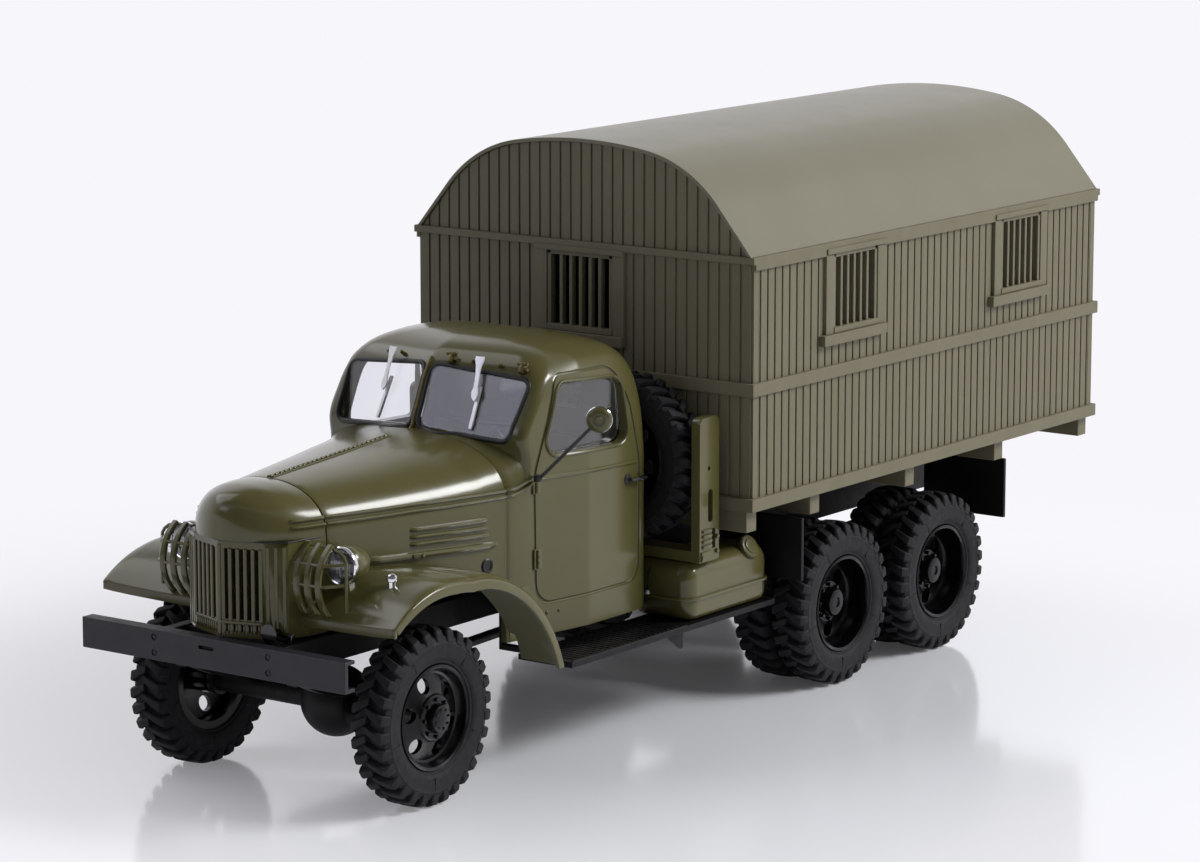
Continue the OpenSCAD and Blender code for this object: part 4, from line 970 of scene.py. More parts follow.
def grille_line(out=0.0):
    """Points along the grille's front from the middle to the bonnet's side, moved forwards by out."""
    line = []
    for a, b in zip(GRILLE, GRILLE[1:]):
        line += [(a[0] + (b[0] - a[0]) * t / 6, a[1] + (b[1] - a[1]) * t / 6 - out) for t in range(6)]
    return line


def nose_piece():
    """The nose with the belts' front ends, and a dark bead under it: painted shadow of the nose's overhanging
    lip.
    """
    dome_shape = nose_dome()
    skin = skin_tree(dome_shape)
    lines = []
    for z_front, _ in BELTS:
        line = between((OUTSIDE_X, NOSE_Y - 4.6, z_front + 0.02), (OUTSIDE_X, NOSE_Y - 0.2, z_front), 16)
        reach = on_skin(skin, line, FROM_LEFT, BELT_LIFT)
        lines.append(bead([p - Vector((BELT_R, 0, 0)) if i == 0 else p for i, p in enumerate(reach)], BELT_R))
    # A thin dark bead along the grille's top edge: painted shadow under the nose's lip
    edge = [(x, y, BONNET_BASE_Z - 0.04) for x, y in grille_line(0.02)]
    piece("nose_joint", bead([(-x, y, z) for x, y, z in edge[:0:-1]] + edge, 0.12), GASKET)
    piece("nose_dome", joined(dome_shape, *[both_sides(b) for b in lines]), PAINT,
          replaces=["bonnet_nose"])


# Cab

CAB_HALF_W = 18.2
CAB_BACK_Y = 50.5
CAB_Z = 16.5
CAB_T = 1.1
CAB_MID_Y = 36
CAB_FLOOR_Z = 22.8
CAB_FLOOR_T = 0.8
DOOR_GROOVE_R = 0.24

# Sections from the sills up: z, front middle y, front corner y, front half width, side half width, back y,
# front corner radius, back corner radius
CAB = [
    (CAB_Z, 21, 21, 15.95, 18.2, 50.5, 0.6, 3), (34.8, 21, 21, 15.95, 18.2, 50.5, 0.6, 3),
    (37.2, 21.2, 24.0, 16.55, 18.2, 50.5, 1, 3), (39.8, 21.3, 24.3, 16.6, 18.1, 50.5, 1.4, 3.2),
    (42.6, 21.5, 23.8, 16.5, 17.95, 50.5, 1.5, 3.4), (47, 23.2, 26, 16.6, 17.5, 50.2, 1.7, 4),
    (50, 24.5, 27.8, 16.3, 16.9, 49.3, 2.4, 4.6), (51.8, 25.7, 28.8, 14.9, 15.9, 48.1, 3.2, 5),
    (53, 27.2, 30.2, 13.2, 14.2, 46.3, 3.4, 5), (53.9, 29.4, 32, 10.6, 11.4, 43.7, 3.4, 5),
    (54.4, 32, 33.6, 7, 7.6, 40.9, 2.6, 3), (54.6, 34.4, 34.9, 2.6, 3, 37.9, 0.8, 0.8),
]
# Cowl sections behind the bonnet: y, half width, top
COWL = [
    (COWL_Y, 15.95, 43.2), (COWL_Y + 1.2, 16.2, 43.25), (COWL_Y + 2.4, 16.4, 43.3), (COWL_Y + 4, 16.62, 43.2),
    (COWL_Y + 5.2, 16.74, 42.9), (COWL_Y + 7, 16.85, 42.2),
]

# Windows: corners in (x, z) or (y, z)
SCREEN = [(0.55, 43.4), (14.3, 42.5), (15, 50), (0.55, 51.3)]
DOOR_WINDOW = [(27.3, 40.4), (45, 39.9), (44, 48.6), (31.3, 49.4)]
REAR_WINDOW = [(-7, 42.5), (7, 42.5), (6.6, 48.5), (-6.6, 48.5)]
# The door's outline in (y, z) and its corners' radii
DOOR = [(26.2, 20.7), (47.0, 20.7), (47.2, 37), (45.5, 45.4), (42.6, 50.35), (30.7, 50.6), (25.9, 38.4)]
DOOR_RADII = [3, 2.4, 12, 8, 4, 1.8, 5]


def cab_ring(row, inset=0.0, drop=0.0):
    """A level cut through the cab, set in all round and lowered."""
    z, mid, corner, front, side, back, front_r, back_r = row
    back_r = max(back_r - inset, 0.5)
    corners = [
        (0, mid + inset), (front - inset, corner + inset), (side - inset, CAB_MID_Y),
        (side - inset, back - inset), (inset - side, back - inset), (inset - side, CAB_MID_Y),
        (inset - front, corner + inset),
    ]
    side_r = min(6, side * 0.3)
    radii = [min(2, front * 0.3), front_r, side_r, back_r, back_r, side_r, front_r]
    return [(x, y, z - drop) for x, y in rounded_outline(corners, radii, 8, 5)]


def grown_outline(corners, radius, out=0.0, steps=7, between_points=6):
    """A window's rounded outline, grown by out on every side."""
    middle = sum((Vector(c) for c in corners), Vector((0, 0))) / len(corners)
    sized = []
    for corner in corners:
        away = (math.copysign(out, corner[0] - middle.x), math.copysign(out, corner[1] - middle.y))
        sized.append(Vector(corner) + Vector(away))
    return rounded_outline(sized, [radius + out] * len(corners), steps, between_points)


def prism(outline, axis, start, end):
    """A closed prism of a flat outline, swept along x or y."""
    def place(p, d):
        return (d, p[0], p[1]) if axis == "x" else (p[0], d, p[1])
    return closed_loft([[place(p, d) for p in outline] for d in (start, end)])


def cab_skin():
    """The cab's outside with the cowl, before anything is cut from it."""
    outside = closed_loft([cab_ring(r) for r in smooth_rows(CAB, 0.7)])
    cowl = []
    for y, half, top in smooth_rows(COWL, 0.5):
        soft = max(0.16 - (y - COWL_Y), 0)
        cowl.append([(half - soft, y, 19.5), *crown(y, half, top, soft, SEAM_TOP_SHARE),
                     (soft - half, y, 19.5)])
    return carved(outside, [closed_loft(cowl)], "UNION")


def cab_piece():
    """The cab's body with its openings, floor and beads, and the skin that its fittings stand on."""
    skin_solid = cab_skin()
    skin = skin_tree(skin_solid)
    hollow = closed_loft([
        cab_ring(r, CAB_T, 1 if i == 0 else CAB_T * 0.8) for i, r in enumerate(smooth_rows(CAB[:-2], 1.2))])
    screen = prism(grown_outline(SCREEN, 1.2), "y", COWL_Y - 4, COWL_Y + 12)
    window = prism(grown_outline(DOOR_WINDOW, 2), "x", CAB_HALF_W - 5, CAB_HALF_W + 5)
    rear = prism(grown_outline(REAR_WINDOW, 1.2), "y", CAB_BACK_Y - 4, CAB_BACK_Y + 4)
    under = CAB_HALF_W - 3.2
    below = block((-under, COWL_Y - 2, CAB_Z - 2), (under, CAB_BACK_Y + 2, CAB_FLOOR_Z))

    # The groove round each door
    door_line = [(OUTSIDE_X, y, z) for y, z in rounded_outline(DOOR, DOOR_RADII, 8, 10)]
    groove = bead(on_skin(skin, door_line, FROM_LEFT), DOOR_GROOVE_R, closed=True)
    cuts = [hollow, screen, mirrored(screen), window, mirrored(window), rear, below, groove, mirrored(groove)]
    shell = carved(skin_solid, cuts)
    floor = block((1.6 - CAB_HALF_W, COWL_Y + 0.9, CAB_FLOOR_Z),
                  (CAB_HALF_W - 1.6, CAB_BACK_Y - 0.9, CAB_FLOOR_Z + CAB_FLOOR_T))

    # Beads: the belts, the swage under the door's window and the rim round it
    beads = []
    for _, z_back in BELTS:
        line = [(OUTSIDE_X, COWL_Y + 0.15 + 4.2 * t, z_back + 0.06 + 1.2 * t**2)
                for t in np.linspace(0, 1, 14)]
        beads.append(bead(on_skin(skin, line, FROM_LEFT, BELT_LIFT), BELT_R))
    swage = on_skin(skin, between((OUTSIDE_X, 27.2, 37.5), (OUTSIDE_X, 46.6, 36.9), 30), FROM_LEFT)
    beads.append(bead([swage[0] - Vector((0.2, 0, 0))] + swage + [swage[-1] - Vector((0.2, 0, 0))], 0.26))
    rim = [(OUTSIDE_X, y, z) for y, z in grown_outline(DOOR_WINDOW, 2, 0.28)]
    beads.append(bead(on_skin(skin, rim, FROM_LEFT), 0.24, closed=True))
    return joined(shell, floor, *[both_sides(b) for b in beads]), skin


def cab_details(skin):
    """Gaskets, hinges, handles, brackets and rivets on the cab's skin."""
    from_front = (0, 1, 0)
    ring = [(x, 0, z) for x, z in grown_outline(SCREEN, 1.2, 0.12)]
    gasket = bead(on_skin(skin, ring, from_front, -0.12), 0.36, closed=True, sides=10)
    rear_ring = [(x, 80, z) for x, z in grown_outline(REAR_WINDOW, 1.2, 0.1)]
    rear_gasket = bead(on_skin(skin, rear_ring, (0, -1, 0), -0.1), 0.34, closed=True, sides=10)
    piece("window_gaskets", joined(both_sides(gasket), rear_gasket), GASKET)

    post = on_skin(skin, between((0, 0, 42.7), (0, 0, 52.0), 12), from_front, 0.05)
    piece("screen_post", bead(post, 0.34, sides=10), BRASS)

    # Hinges: a leaf on each side of the seam and a knuckle with its pin
    hinges = []
    for y, z, tall in ((26.4, 25.5, 2.7), (26.2, 35.6, 1.6)):
        foot = on_skin(skin, [(OUTSIDE_X, y, z)], FROM_LEFT)[0]
        hinges.append(moved(block((-0.2, -0.75, 0), (0.22, 0.85, tall), 0.08), Matrix.Translation(foot)))
        knuckle = drum(0.3, tall / 3.4, 14, 0.05)
        hinges.append(row_of(knuckle, 3, foot + Vector((0.24, -0.1, tall * 0.05)), (0, 0, tall / 3.2)))
    piece("door_hinges", both_sides(joined(*hinges)), PAINT)

    # Handles: an escutcheon and a lever with a bright end
    foot = on_skin(skin, [(OUTSIDE_X, 44.6, 34.75)], FROM_LEFT)[0]
    lever = [foot + Vector(v) for v in ((0, 0, 0), (0.7, 0.05, 0), (0.95, 0.7, 0), (0.95, 1.8, -0.02))]
    rose = moved(dome(0.75, 0.3, 16), Matrix.Translation(foot) @ turned("Y", 90))
    piece("door_handle_roses", both_sides(joined(rose, bead(lever, 0.26, sides=10))), GASKET)
    tip = [foot + Vector(v) for v in ((0.95, 1.5, -0.01), (0.97, 2.4, -0.03), (0.9, 3.0, -0.05))]
    piece("door_handle_levers", both_sides(bead(tip, 0.33, sides=12)), CHROME)

    # Rivets by the sill
    spots = [(OUTSIDE_X, y, 19.4) for y in (27.0, 28.2, 30.4)]
    rivets = studs(dome(0.26, 0.2), [(p, (1, 0, 0)) for p in on_skin(skin, spots, FROM_LEFT)])
    piece("sill_rivets", both_sides(rivets), PAINT)

    # Brackets over the driver's half of the windscreen, and the wipers' clips
    brackets, clips = [], []
    for x in (3.0, 13.4):
        foot = on_skin(skin, [(x, 0, 52.1 - 0.06 * x)], from_front)[0]
        tilt = Matrix.Translation(foot) @ turned("Z", 10) @ turned("X", -38)
        brackets.append(moved(block((-0.35, -0.8, -0.7), (0.35, 0.4, 0.75), 0.1), tilt))
        brackets.append(moved(drum(0.26, 1.5, 12, 0.05),
                              tilt @ shifted(-0.75, -0.65, 0.55) @ turned("Y", 90)))
        brackets.append(moved(block((0.4, -0.6, -0.35), (0.8, 0.3, 0.1), 0.08), tilt))
    for x in (6.3, 10.2, -5.5, -8.1):
        foot = on_skin(skin, [(x, 0, 52.15 - 0.06 * abs(x))], from_front)[0]
        tilt = Matrix.Translation(foot) @ turned("Z", math.copysign(10, x)) @ turned("X", -38)
        clips.append(moved(block((-0.38, -0.5, -0.2), (0.38, 0.3, 0.22), 0.1), tilt))
        clips.append(moved(dome(0.24, 0.24), tilt @ shifted(0, -0.55, 0)))
    piece("screen_brackets", joined(*brackets, *clips), BRASS)


# Wipers: their places across the windscreen, then heights over its foot and half widths of the arm
# and the blade
WIPERS = [8.4, -6.8]
SCREEN_FOOT_Z = 43.4
SCREEN_LEAN = 21
SCREEN_TURN = 10.5
ARM = [(9.7, 0.62), (9.2, 0.66), (8.4, 0.42), (7.2, 0.3), (5.6, 0.3), (4.9, 0.52), (4.3, 0.44), (3.8, 0.12)]
BLADE = [(5.9, 0.16), (5.6, 0.24), (0.6, 0.26), (0.1, 0.2)]


def strip(widths, lean=0.0):
    """Outline of a flat strip from its half widths at heights, leaning sideways."""
    left = [(-w + lean * (z - 3), z) for z, w in widths]
    right = [(w + lean * (z - 3), z) for z, w in reversed(widths)]
    return left + right


def wiper_piece():
    """The wipers' arms and blades on the windscreen."""
    parts = []
    for x in WIPERS:
        side = math.copysign(1, x)
        place = (shifted(x, COWL_Y + 1 + abs(x) * math.tan(math.radians(SCREEN_TURN)), SCREEN_FOOT_Z)
                 @ turned("Z", side * SCREEN_TURN) @ turned("X", -SCREEN_LEAN))
        arm = moved(plate(strip(ARM), 0.2, 0.04), shifted(0, -0.95, 0) @ turned("X", 1.5))
        blade = moved(plate(strip(BLADE, 0.09), 0.4, 0.05), shifted(0.1, -0.55, 0))
        parts.append(moved(joined(arm, blade), place))
    piece("wiper_arms", joined(*parts), ETCHED, replaces=["wipers"])


# Fenders

FENDER_R = 17.5
FENDER_OUT_X = 24.2
FENDER_LIP = 1.15
FENDER_T = 0.7
FENDER_ANGLES = (-41, 83)
FENDER_STEPS = 96
FENDER_TOP_POINTS = 8


def eased(value, soft=8):
    """max(0, value) with its corner rounded."""
    return (value + math.sqrt(value * value + soft * soft)) / 2 - soft / 2 * math.exp(-abs(value) / soft)


def fender_ring(angle):
    """One cut through the fender at an angle behind the vertical over the wheel."""
    edge = FENDER_R + 0.072 * eased(angle - 12) + 0.028 * eased(-angle)
    sin, cos = math.sin(math.radians(angle)), math.cos(math.radians(angle))
    y = edge * sin
    if y < NOSE_Y:
        x0 = float(np.interp(y, [-17, NOSE_Y], [9.4, 9.6]))
    else:
        x0 = bonnet_half_w(y) + 0.15 if y < COWL_Y else 17.0
    rise = 0.9 - 1.5 * min(max((-8 - angle) / 33, 0), 1)
    x1 = FENDER_OUT_X
    top = [
        (x0, rise), (x0 + (x1 - x0) * 0.4, rise * 0.92 + 0.06), (x0 + (x1 - x0) * 0.68, rise * 0.78 + 0.12),
        (x1 - 1.7, 0.2 + 0.58 * rise), (x1 - 1.0, 0.2 + 0.42 * rise), (x1 - 0.5, 0.16 + 0.26 * rise),
        (x1 - 0.2, 0.1 + 0.1 * rise), (x1 - 0.05, -0.02), (x1, -0.16), (x1, -FENDER_LIP + 0.1),
        (x1 - 0.08, -FENDER_LIP), (x1 - 0.5, -FENDER_LIP), (x1 - 0.58, -FENDER_LIP + 0.12),
        (x1 - 0.62, -0.62), (x1 - 1.4, 0.2 + 0.5 * rise - FENDER_T),
        (x0 + (x1 - x0) * 0.5, rise * 0.9 - FENDER_T), (x0, rise - FENDER_T),
    ]
    return [(x, (edge + h) * sin, TYRE_R + (edge + h) * cos) for x, h in top]


def fender_piece():
    """The fenders' sheets with their turned front edges."""
    first, last = FENDER_ANGLES
    rings = [fender_ring(first + (last - first) * i / FENDER_STEPS) for i in range(FENDER_STEPS + 1)]
    shell = rounded_edges(closed_loft(rings), 0.08, 50)
    front = []
    for x, y, z in rings[0][:FENDER_TOP_POINTS]:
        front.append([(x, y - 0.06, z - 0.02), (x, y + 0.4, z - 0.02), (x, y + 0.4, z - FENDER_LIP),
                      (x, y - 0.06, z - FENDER_LIP)])
    merge_into(shell, rounded_edges(closed_loft(front), 0.08, 50))
    piece("fender_pressings", both_sides(shell), PAINT, replaces=["fenders"])


bonnet_piece()
nose_piece()
cab_shape, cab_tree = cab_piece()
piece("cab_body", cab_shape, PAINT, replaces=["cab_shell"])
cab_details(cab_tree)
wiper_piece()
fender_piece()


# Grille, lamps and their guards

GRILLE_LOW_Z = 22.3
GRILLE_TOP_Z = BONNET_BASE_Z - 0.05
GRILLE_SLOTS = 5
SLOT_W = 0.5
GRILLE_FLUTES = 3
RADIATOR_FINS = 26


def grille_piece():
    """The slotted front with a bar between the slots, a cross bar under them and flutes on its flanks."""
    front = Vector(GRILLE[1]) - Vector(GRILLE[0])
    pitch = front.length / (GRILLE_SLOTS + 0.6)
    along = shifted(*GRILLE[0], 0) @ turned("Z", math.degrees(math.atan2(front.y, front.x)))
    bar = block((0, -0.22, GRILLE_LOW_Z + 2.2), (pitch - SLOT_W, 0.3, GRILLE_TOP_Z - 0.9), 0.16)
    bars = moved(row_of(bar, GRILLE_SLOTS, (0.75 * pitch + SLOT_W, 0, 0), (pitch, 0, 0)), along)
    foot_bar = block((0, -0.12, GRILLE_LOW_Z + 0.6), ((pitch - SLOT_W) * 0.6, 0.3, GRILLE_LOW_Z + 1.9), 0.1)
    foot_bars = moved(row_of(foot_bar, 2 * GRILLE_SLOTS, (0.6 * pitch, 0, 0), (pitch / 2, 0, 0)), along)
    sill = moved(block((0.1, -0.2, GRILLE_LOW_Z + 1.85),
                       (front.length - 0.1, 0.3, GRILLE_LOW_Z + 2.3), 0.12), along)
    flank = Vector(GRILLE[2]) - Vector(GRILLE[1])
    beside = shifted(*GRILLE[1], 0) @ turned("Z", math.degrees(math.atan2(flank.y, flank.x)))
    flute = block((0, -0.1, GRILLE_LOW_Z + 0.5), (0.5, 0.3, GRILLE_TOP_Z - 0.6), 0.13)
    flutes = moved(row_of(flute, GRILLE_FLUTES, (0.5, 0, 0), (1.05, 0, 0)), beside)
    nose = block((-0.3, GRILLE[0][1] - 0.12, GRILLE_LOW_Z + 0.4),
                 (0.3, GRILLE[0][1] + 0.6, GRILLE_TOP_Z - 0.5), 0.14)
    body = solid_copy("grille", 0.06)
    piece("grille_bars", joined(body, nose, *[both_sides(s) for s in (bars, foot_bars, sill, flutes)]), PAINT,
          replaces=["grille"])

    low, high = node_box("radiator")
    core = solid_copy("radiator", 0.1)
    fin = block((low.x + 0.3, low.y - AXLE_Y - 0.16, 0), (high.x - 0.3, low.y - AXLE_Y + 0.1, 0.16), 0.04)
    fins = row_of(fin, RADIATOR_FINS, (0, 0, low.z + 0.4), (0, 0, (high.z - low.z - 0.8) / RADIATOR_FINS))
    piece("radiator_core", joined(core, fins), BLACK, replaces=["radiator"])


LAMP = (12.9, -9, 31.6)
LAMP_R = 2.45
LENS_FLUTES = 7
FACING_FRONT = turned("Z", -90)


def headlamp_pieces():
    """The headlamps' shells, bright rings, bowls and fluted glasses."""
    place = shifted(*LAMP) @ FACING_FRONT
    # The shell's outline from its mouth to its tip: radius, across
    outside = [(LAMP_R - 0.12, -0.25), (LAMP_R, -1), (LAMP_R * 0.94, -2.2), (LAMP_R * 0.76, -3.4),
               (LAMP_R * 0.42, -4.5), (LAMP_R * 0.2, -4.85), (0, -4.95)]
    outline = [(r, x) for r, x in smooth_rows(outside, 0.3)] + [(0, -0.5), (LAMP_R - 0.3, -0.5)]
    foot_top = LAMP[2] - LAMP_R + 0.4
    foot = moved(plate([(-0.6, 28.2), (0.6, 28.2), (0.45, foot_top), (-0.45, foot_top)], 1.2, 0.1),
                 shifted(LAMP[0], LAMP[1] + 1.0, 0))
    piece("headlamp_shells", both_sides(joined(moved(spun(outline, 40), place), foot)), PAINT,
          replaces=["headlamps"])
    ring = [(LAMP_R - 0.34, -0.1), (LAMP_R - 0.3, 0.12), (LAMP_R - 0.12, 0.2), (LAMP_R + 0.06, 0.06),
            (LAMP_R + 0.1, -0.16), (LAMP_R + 0.02, -0.5), (LAMP_R - 0.2, -0.5), (LAMP_R - 0.2, -0.2)]
    bowl = [(0, -0.42), (0.6, -0.4), (1.4, -0.3), (LAMP_R - 0.3, -0.02), (LAMP_R - 0.2, -0.1), (1.4, -0.44),
            (0.6, -0.48), (0, -0.49)]
    piece("headlamp_rings", both_sides(moved(spun(ring, 48), place)), CHROME)
    piece("headlamp_bowls", both_sides(moved(spun(bowl, 40), place)), BOWL)
    glass = [(0, 0.5), (1.0, 0.42), (1.7, 0.26), (LAMP_R - 0.36, 0.02), (LAMP_R - 0.36, -0.05), (1.7, 0.14),
             (1.0, 0.3), (0, 0.38)]
    flute = block((-0.05, -0.05, -1.5), (0.05, 0.05, 1.5), 0.03)
    flutes = moved(row_of(flute, LENS_FLUTES, (0.2, -1.2, 0), (0, 0.4, 0)), place)
    piece("headlamp_glasses", both_sides(joined(moved(spun(glass, 40), place), flutes)), GLASS,
          replaces=["headlamp_lenses"])


GUARD_MID = (-7.9, 29.8)
GUARD_R = 5.7
GUARD_HALF_H = 4.7
GUARD_STRIPS = [9.3, 11, 12.8]
GUARD_RODS = [29.7, 32.3]
GUARD_IN_X = 8.7
GUARD_OUT_X = 15.2
GUARD_ROD_R = 0.22


def guard_y(z):
    """Where the bowed strips' middle stands at height z."""
    return GUARD_MID[0] - math.sqrt((GUARD_R - 0.22) ** 2 - (z - GUARD_MID[1]) ** 2)


def lamp_guard_piece():
    """Bowed strips, cross rods and the hoop behind them."""
    reach = math.degrees(math.asin(GUARD_HALF_H / (GUARD_R - 0.2)))
    rings = []
    for a in np.radians(np.linspace(-reach, reach, 25)):
        ring = []
        for x, r in ((-0.45, GUARD_R - 0.45), (0.45, GUARD_R - 0.45), (0.45, GUARD_R - 0.14), (0.28, GUARD_R),
                     (-0.28, GUARD_R), (-0.45, GUARD_R - 0.14)):
            ring.append((x, GUARD_MID[0] - r * math.cos(a), GUARD_MID[1] + r * math.sin(a)))
        rings.append(ring)
    strips = row_of(closed_loft(rings), len(GUARD_STRIPS), (GUARD_STRIPS[0], 0, 0),
                    (GUARD_STRIPS[1] - GUARD_STRIPS[0] + 0.05, 0, 0))
    hoop_y = guard_y(GUARD_MID[1] + GUARD_HALF_H)
    top = GUARD_MID[1] + GUARD_HALF_H - 0.22
    # The hoop from its outer foot up and over to the grille: in from the outer side, down from the top
    bend = [(0, 2 * GUARD_HALF_H - 0.44), (0, 2.2), (0.1, 1.5), (0.5, 0.9), (1.2, 0.4), (2.4, 0.12)]
    hoop = [(GUARD_OUT_X - inwards, hoop_y, top - down)
            for inwards, down in bend] + [(GUARD_IN_X, hoop_y, top)]
    rods = [bead(hoop, GUARD_ROD_R)]
    for z in GUARD_RODS:
        y = guard_y(z)
        rods.append(bead([(GUARD_IN_X, y, z), (GUARD_STRIPS[2], y, z), (GUARD_STRIPS[2] + 0.9, y + 0.35, z),
                          (GUARD_OUT_X, hoop_y, z)], GUARD_ROD_R))
    piece("lamp_guard_cages", both_sides(joined(strips, *rods)), PAINT,
          replaces=["lamp_guards"])


def marker_lamp_piece():
    """The small lamps on the fenders."""
    low, high = node_box("marker_lamps")
    x, y = high.x - 0.7, (low.y + high.y) / 2 - AXLE_Y
    outline = [(0, high.z), (0.35, high.z - 0.06), (0.62, high.z - 0.25), (0.7, high.z - 0.5),
               (0.7, high.z - 0.95), (0.58, high.z - 1.05), (0.52, high.z - 1.5), (0.45, low.z), (0, low.z)]
    lamp = moved(spun(outline, 28), shifted(x, y, 0) @ turned("Y", -90))
    piece("marker_lamp_cups", both_sides(lamp), CHROME, replaces=["marker_lamps"])


def mirror_piece():
    """A round mirror on a bent stalk from the left door's hinge."""
    foot, head = Vector((17.6, 25.2, 37.9)), Vector((24.8, 29.2, 45.8))
    stalk = [foot + Vector((-0.3, 0, 0)), foot + Vector((0.5, 0.1, 0.1)), foot + Vector((1.1, 0.4, 0.7))]
    stalk += [stalk[-1].lerp(head, t) for t in (0.25, 0.5, 0.75, 0.96)]
    eye = moved(drum(0.5, 0.9, 14, 0.1), Matrix.Translation(foot + Vector((0.2, 0, -0.45))))
    piece("mirror_stalk", joined(bead(stalk, 0.24), eye), GASKET)
    place = Matrix.Translation(head) @ turned("Z", 32) @ FACING_FRONT
    shell = [(0, 0.62), (0.42, 0.6), (0.5, 0.5), (0.56, 0.4), (0.72, 0.4), (0.8, 0.5), (0.92, 0.5),
             (1.3, 0.4), (1.56, 0.22), (1.64, 0.06), (1.64, 0.02), (0, 0.0)]
    piece("mirror_shell", moved(spun(shell, 36), place), PAINT, replaces=["side_mirror"])
    rim = [(1.63, 0.06), (1.7, 0.1), (1.75, 0.04), (1.75, -0.14), (1.62, -0.24), (1.5, -0.16), (0, -0.14),
           (0, 0.0), (1.58, 0.0)]
    piece("mirror_rim", moved(spun(rim, 40), place), CHROME)


grille_piece()
headlamp_pieces()
lamp_guard_piece()
marker_lamp_piece()
mirror_piece()


# Tanks, running boards, bumper and spare carrier

TANK = ((14, 50.9, 14.55), (23.9, 70.6, 22.65))
TANK_ROUND = 2.2
TANK_FLANGE = 0.4
CAP_GRIPS = 24


def tank_pieces():
    """The pressed fuel tanks with their flanges, straps and caps, and the gauge rods in front of them."""
    (x0, y0, z0), (x1, y1, z1) = TANK
    rings = []
    ends = [(TANK_ROUND * (1 - math.cos(a)), TANK_ROUND * (1 - math.sin(a)))
            for a in np.linspace(0, math.pi / 2, 9)]
    for y, inset in [(y0 + d, i) for d, i in ends] + [(y1 - d, i) for d, i in reversed(ends)]:
        low_in = inset * 0.8
        corners = [(x1 - inset, z0 + low_in), (x0 + inset, z0 + low_in), (x0 + inset, z1 - inset),
                   (x1 - inset, z1 - inset)]
        outline = rounded_outline(corners,
                                  [1.3, 1.3, TANK_ROUND - inset * 0.4, TANK_ROUND - inset * 0.4], 7, 2)
        rings.append([(x, y, z) for x, z in outline])
    tank = closed_loft(rings)
    seam_z = z0 + (z1 - z0) * 0.36
    out = TANK_FLANGE
    seam = [(x0 - out, y0 - out), (x1 + out, y0 - out), (x1 + out, y1 + out), (x0 - out, y1 + out)]
    seam = rounded_outline(seam, [TANK_ROUND + out] * 4, 7)
    flange = closed_loft([[(x, y, z) for x, y in seam] for z in (seam_z, seam_z + out)])
    filler = Vector((x1 - 3.4, y1 - 4.4, z1 - 1.7))
    lean = Vector((3, 0, 1.7))
    turn = lean.to_track_quat("Z", "Y").to_matrix().to_4x4()
    neck = moved(drum(1.35, lean.length - 0.6, 28, 0.1), Matrix.Translation(filler) @ turn)
    cap = moved(joined(drum(1.65, 0.75, 36, 0.16), drum(1.1, 0.92, 28, 0.12)),
                Matrix.Translation(filler + lean * 0.8) @ turn)
    grip = ring_of(block((-0.1, -0.07, 1.57), (0.55, 0.07, 1.72), 0.03), CAP_GRIPS)
    grips = moved(grip, Matrix.Translation(filler + lean * 0.83) @ turn @ turned("Y", -90))
    straps = [block((x0 + 0.2, y, z1 - 0.1), (x1 - 2.4, y + 1.1, z1 + 0.04), 0.04)
              for y in (y0 + 3.4, y1 - 5.4)]
    piece("tank_pressings",
          both_sides(joined(tank, rounded_edges(flange, 0.08, 50), neck, cap, grips, *straps)), PAINT,
          replaces=["fuel_tanks"])
    rod = [(x0 + 3.6, y0 + 0.1, z1 - 1.0), (x0 + 3.4, y0 - 0.12, z1 - 1.4), (x0 + 3.2, y0 - 0.14, z0 + 4.2),
           (x0 + 3.1, y0 - 0.1, z0 + 3.6)]
    knob = moved(dome(0.4, 0.5, 16), shifted(x0 + 3.1, y0 - 0.05, z0 + 3.4))
    piece("tank_gauge_rods", both_sides(bead(rod, 0.08)), BLACK)
    piece("tank_gauge_knobs", both_sides(knob), ETCHED)


BOARD_Z = (13.7, 14.5)
BOARD_OUT_X = 24.3
BOARD_RIBS = 24


def board_pieces():
    """The running boards with their ribs, turned edges and gussets."""
    body = solid_copy("running_boards", 0.1)
    low_z, top_z = BOARD_Z
    rib = block((16.2, -0.2, top_z - 0.06), (BOARD_OUT_X - 0.7, 0.2, top_z + 0.1), 0.06)
    ribs = row_of(rib, BOARD_RIBS, (0, 25.6, 0), (0, 1.0, 0))
    edge = block((BOARD_OUT_X - 0.42, 24.3, top_z - 0.1), (BOARD_OUT_X - 0.06, 50.2, top_z + 0.12), 0.08)
    gusset = moved(plate([(0, 0), (0, -2.3), (-0.5, -2.4), (-3.4, -0.3), (-3.4, 0)], 0.5, 0.06),
                   shifted(BOARD_OUT_X - 0.7, 50.0, low_z + 0.05) @ turned("Z", 90))
    piece("running_board_ribs", joined(body, *[both_sides(s) for s in (ribs, edge, gusset)]), BLACK,
          replaces=["running_boards"])


def bumper_pieces():
    """The bumper with its slot and its sunk bolts."""
    low, high = node_box("bumper")
    front = low.y - AXLE_Y
    mid_z = (low.z + high.z) / 2
    bolts = [(s * 9.4, mid_z + z) for s in (-1, 1) for z in (1.0, -1.0)]
    slot = [(-2.0, mid_z + 0.5), (0.5, mid_z + 0.5), (0.5, mid_z + 1.0), (-2.0, mid_z + 1.0)]
    slot = rounded_outline(slot, [0.2] * 4, 4)
    pockets = [moved(drum(0.46, 0.3, 20), shifted(x, front + 0.14, z) @ turned("X", 90)) for x, z in bolts]
    body = carved(solid_copy("bumper", 0.1), [prism(slot, "y", front - 1, front + 2)] + pockets)
    heads = studs(dome(0.32, 0.13, 12), [((x, front + 0.14, z), (0, -1, 0)) for x, z in bolts])
    piece("bumper_bolts", joined(body, heads), BUMPER, replaces=["bumper"])


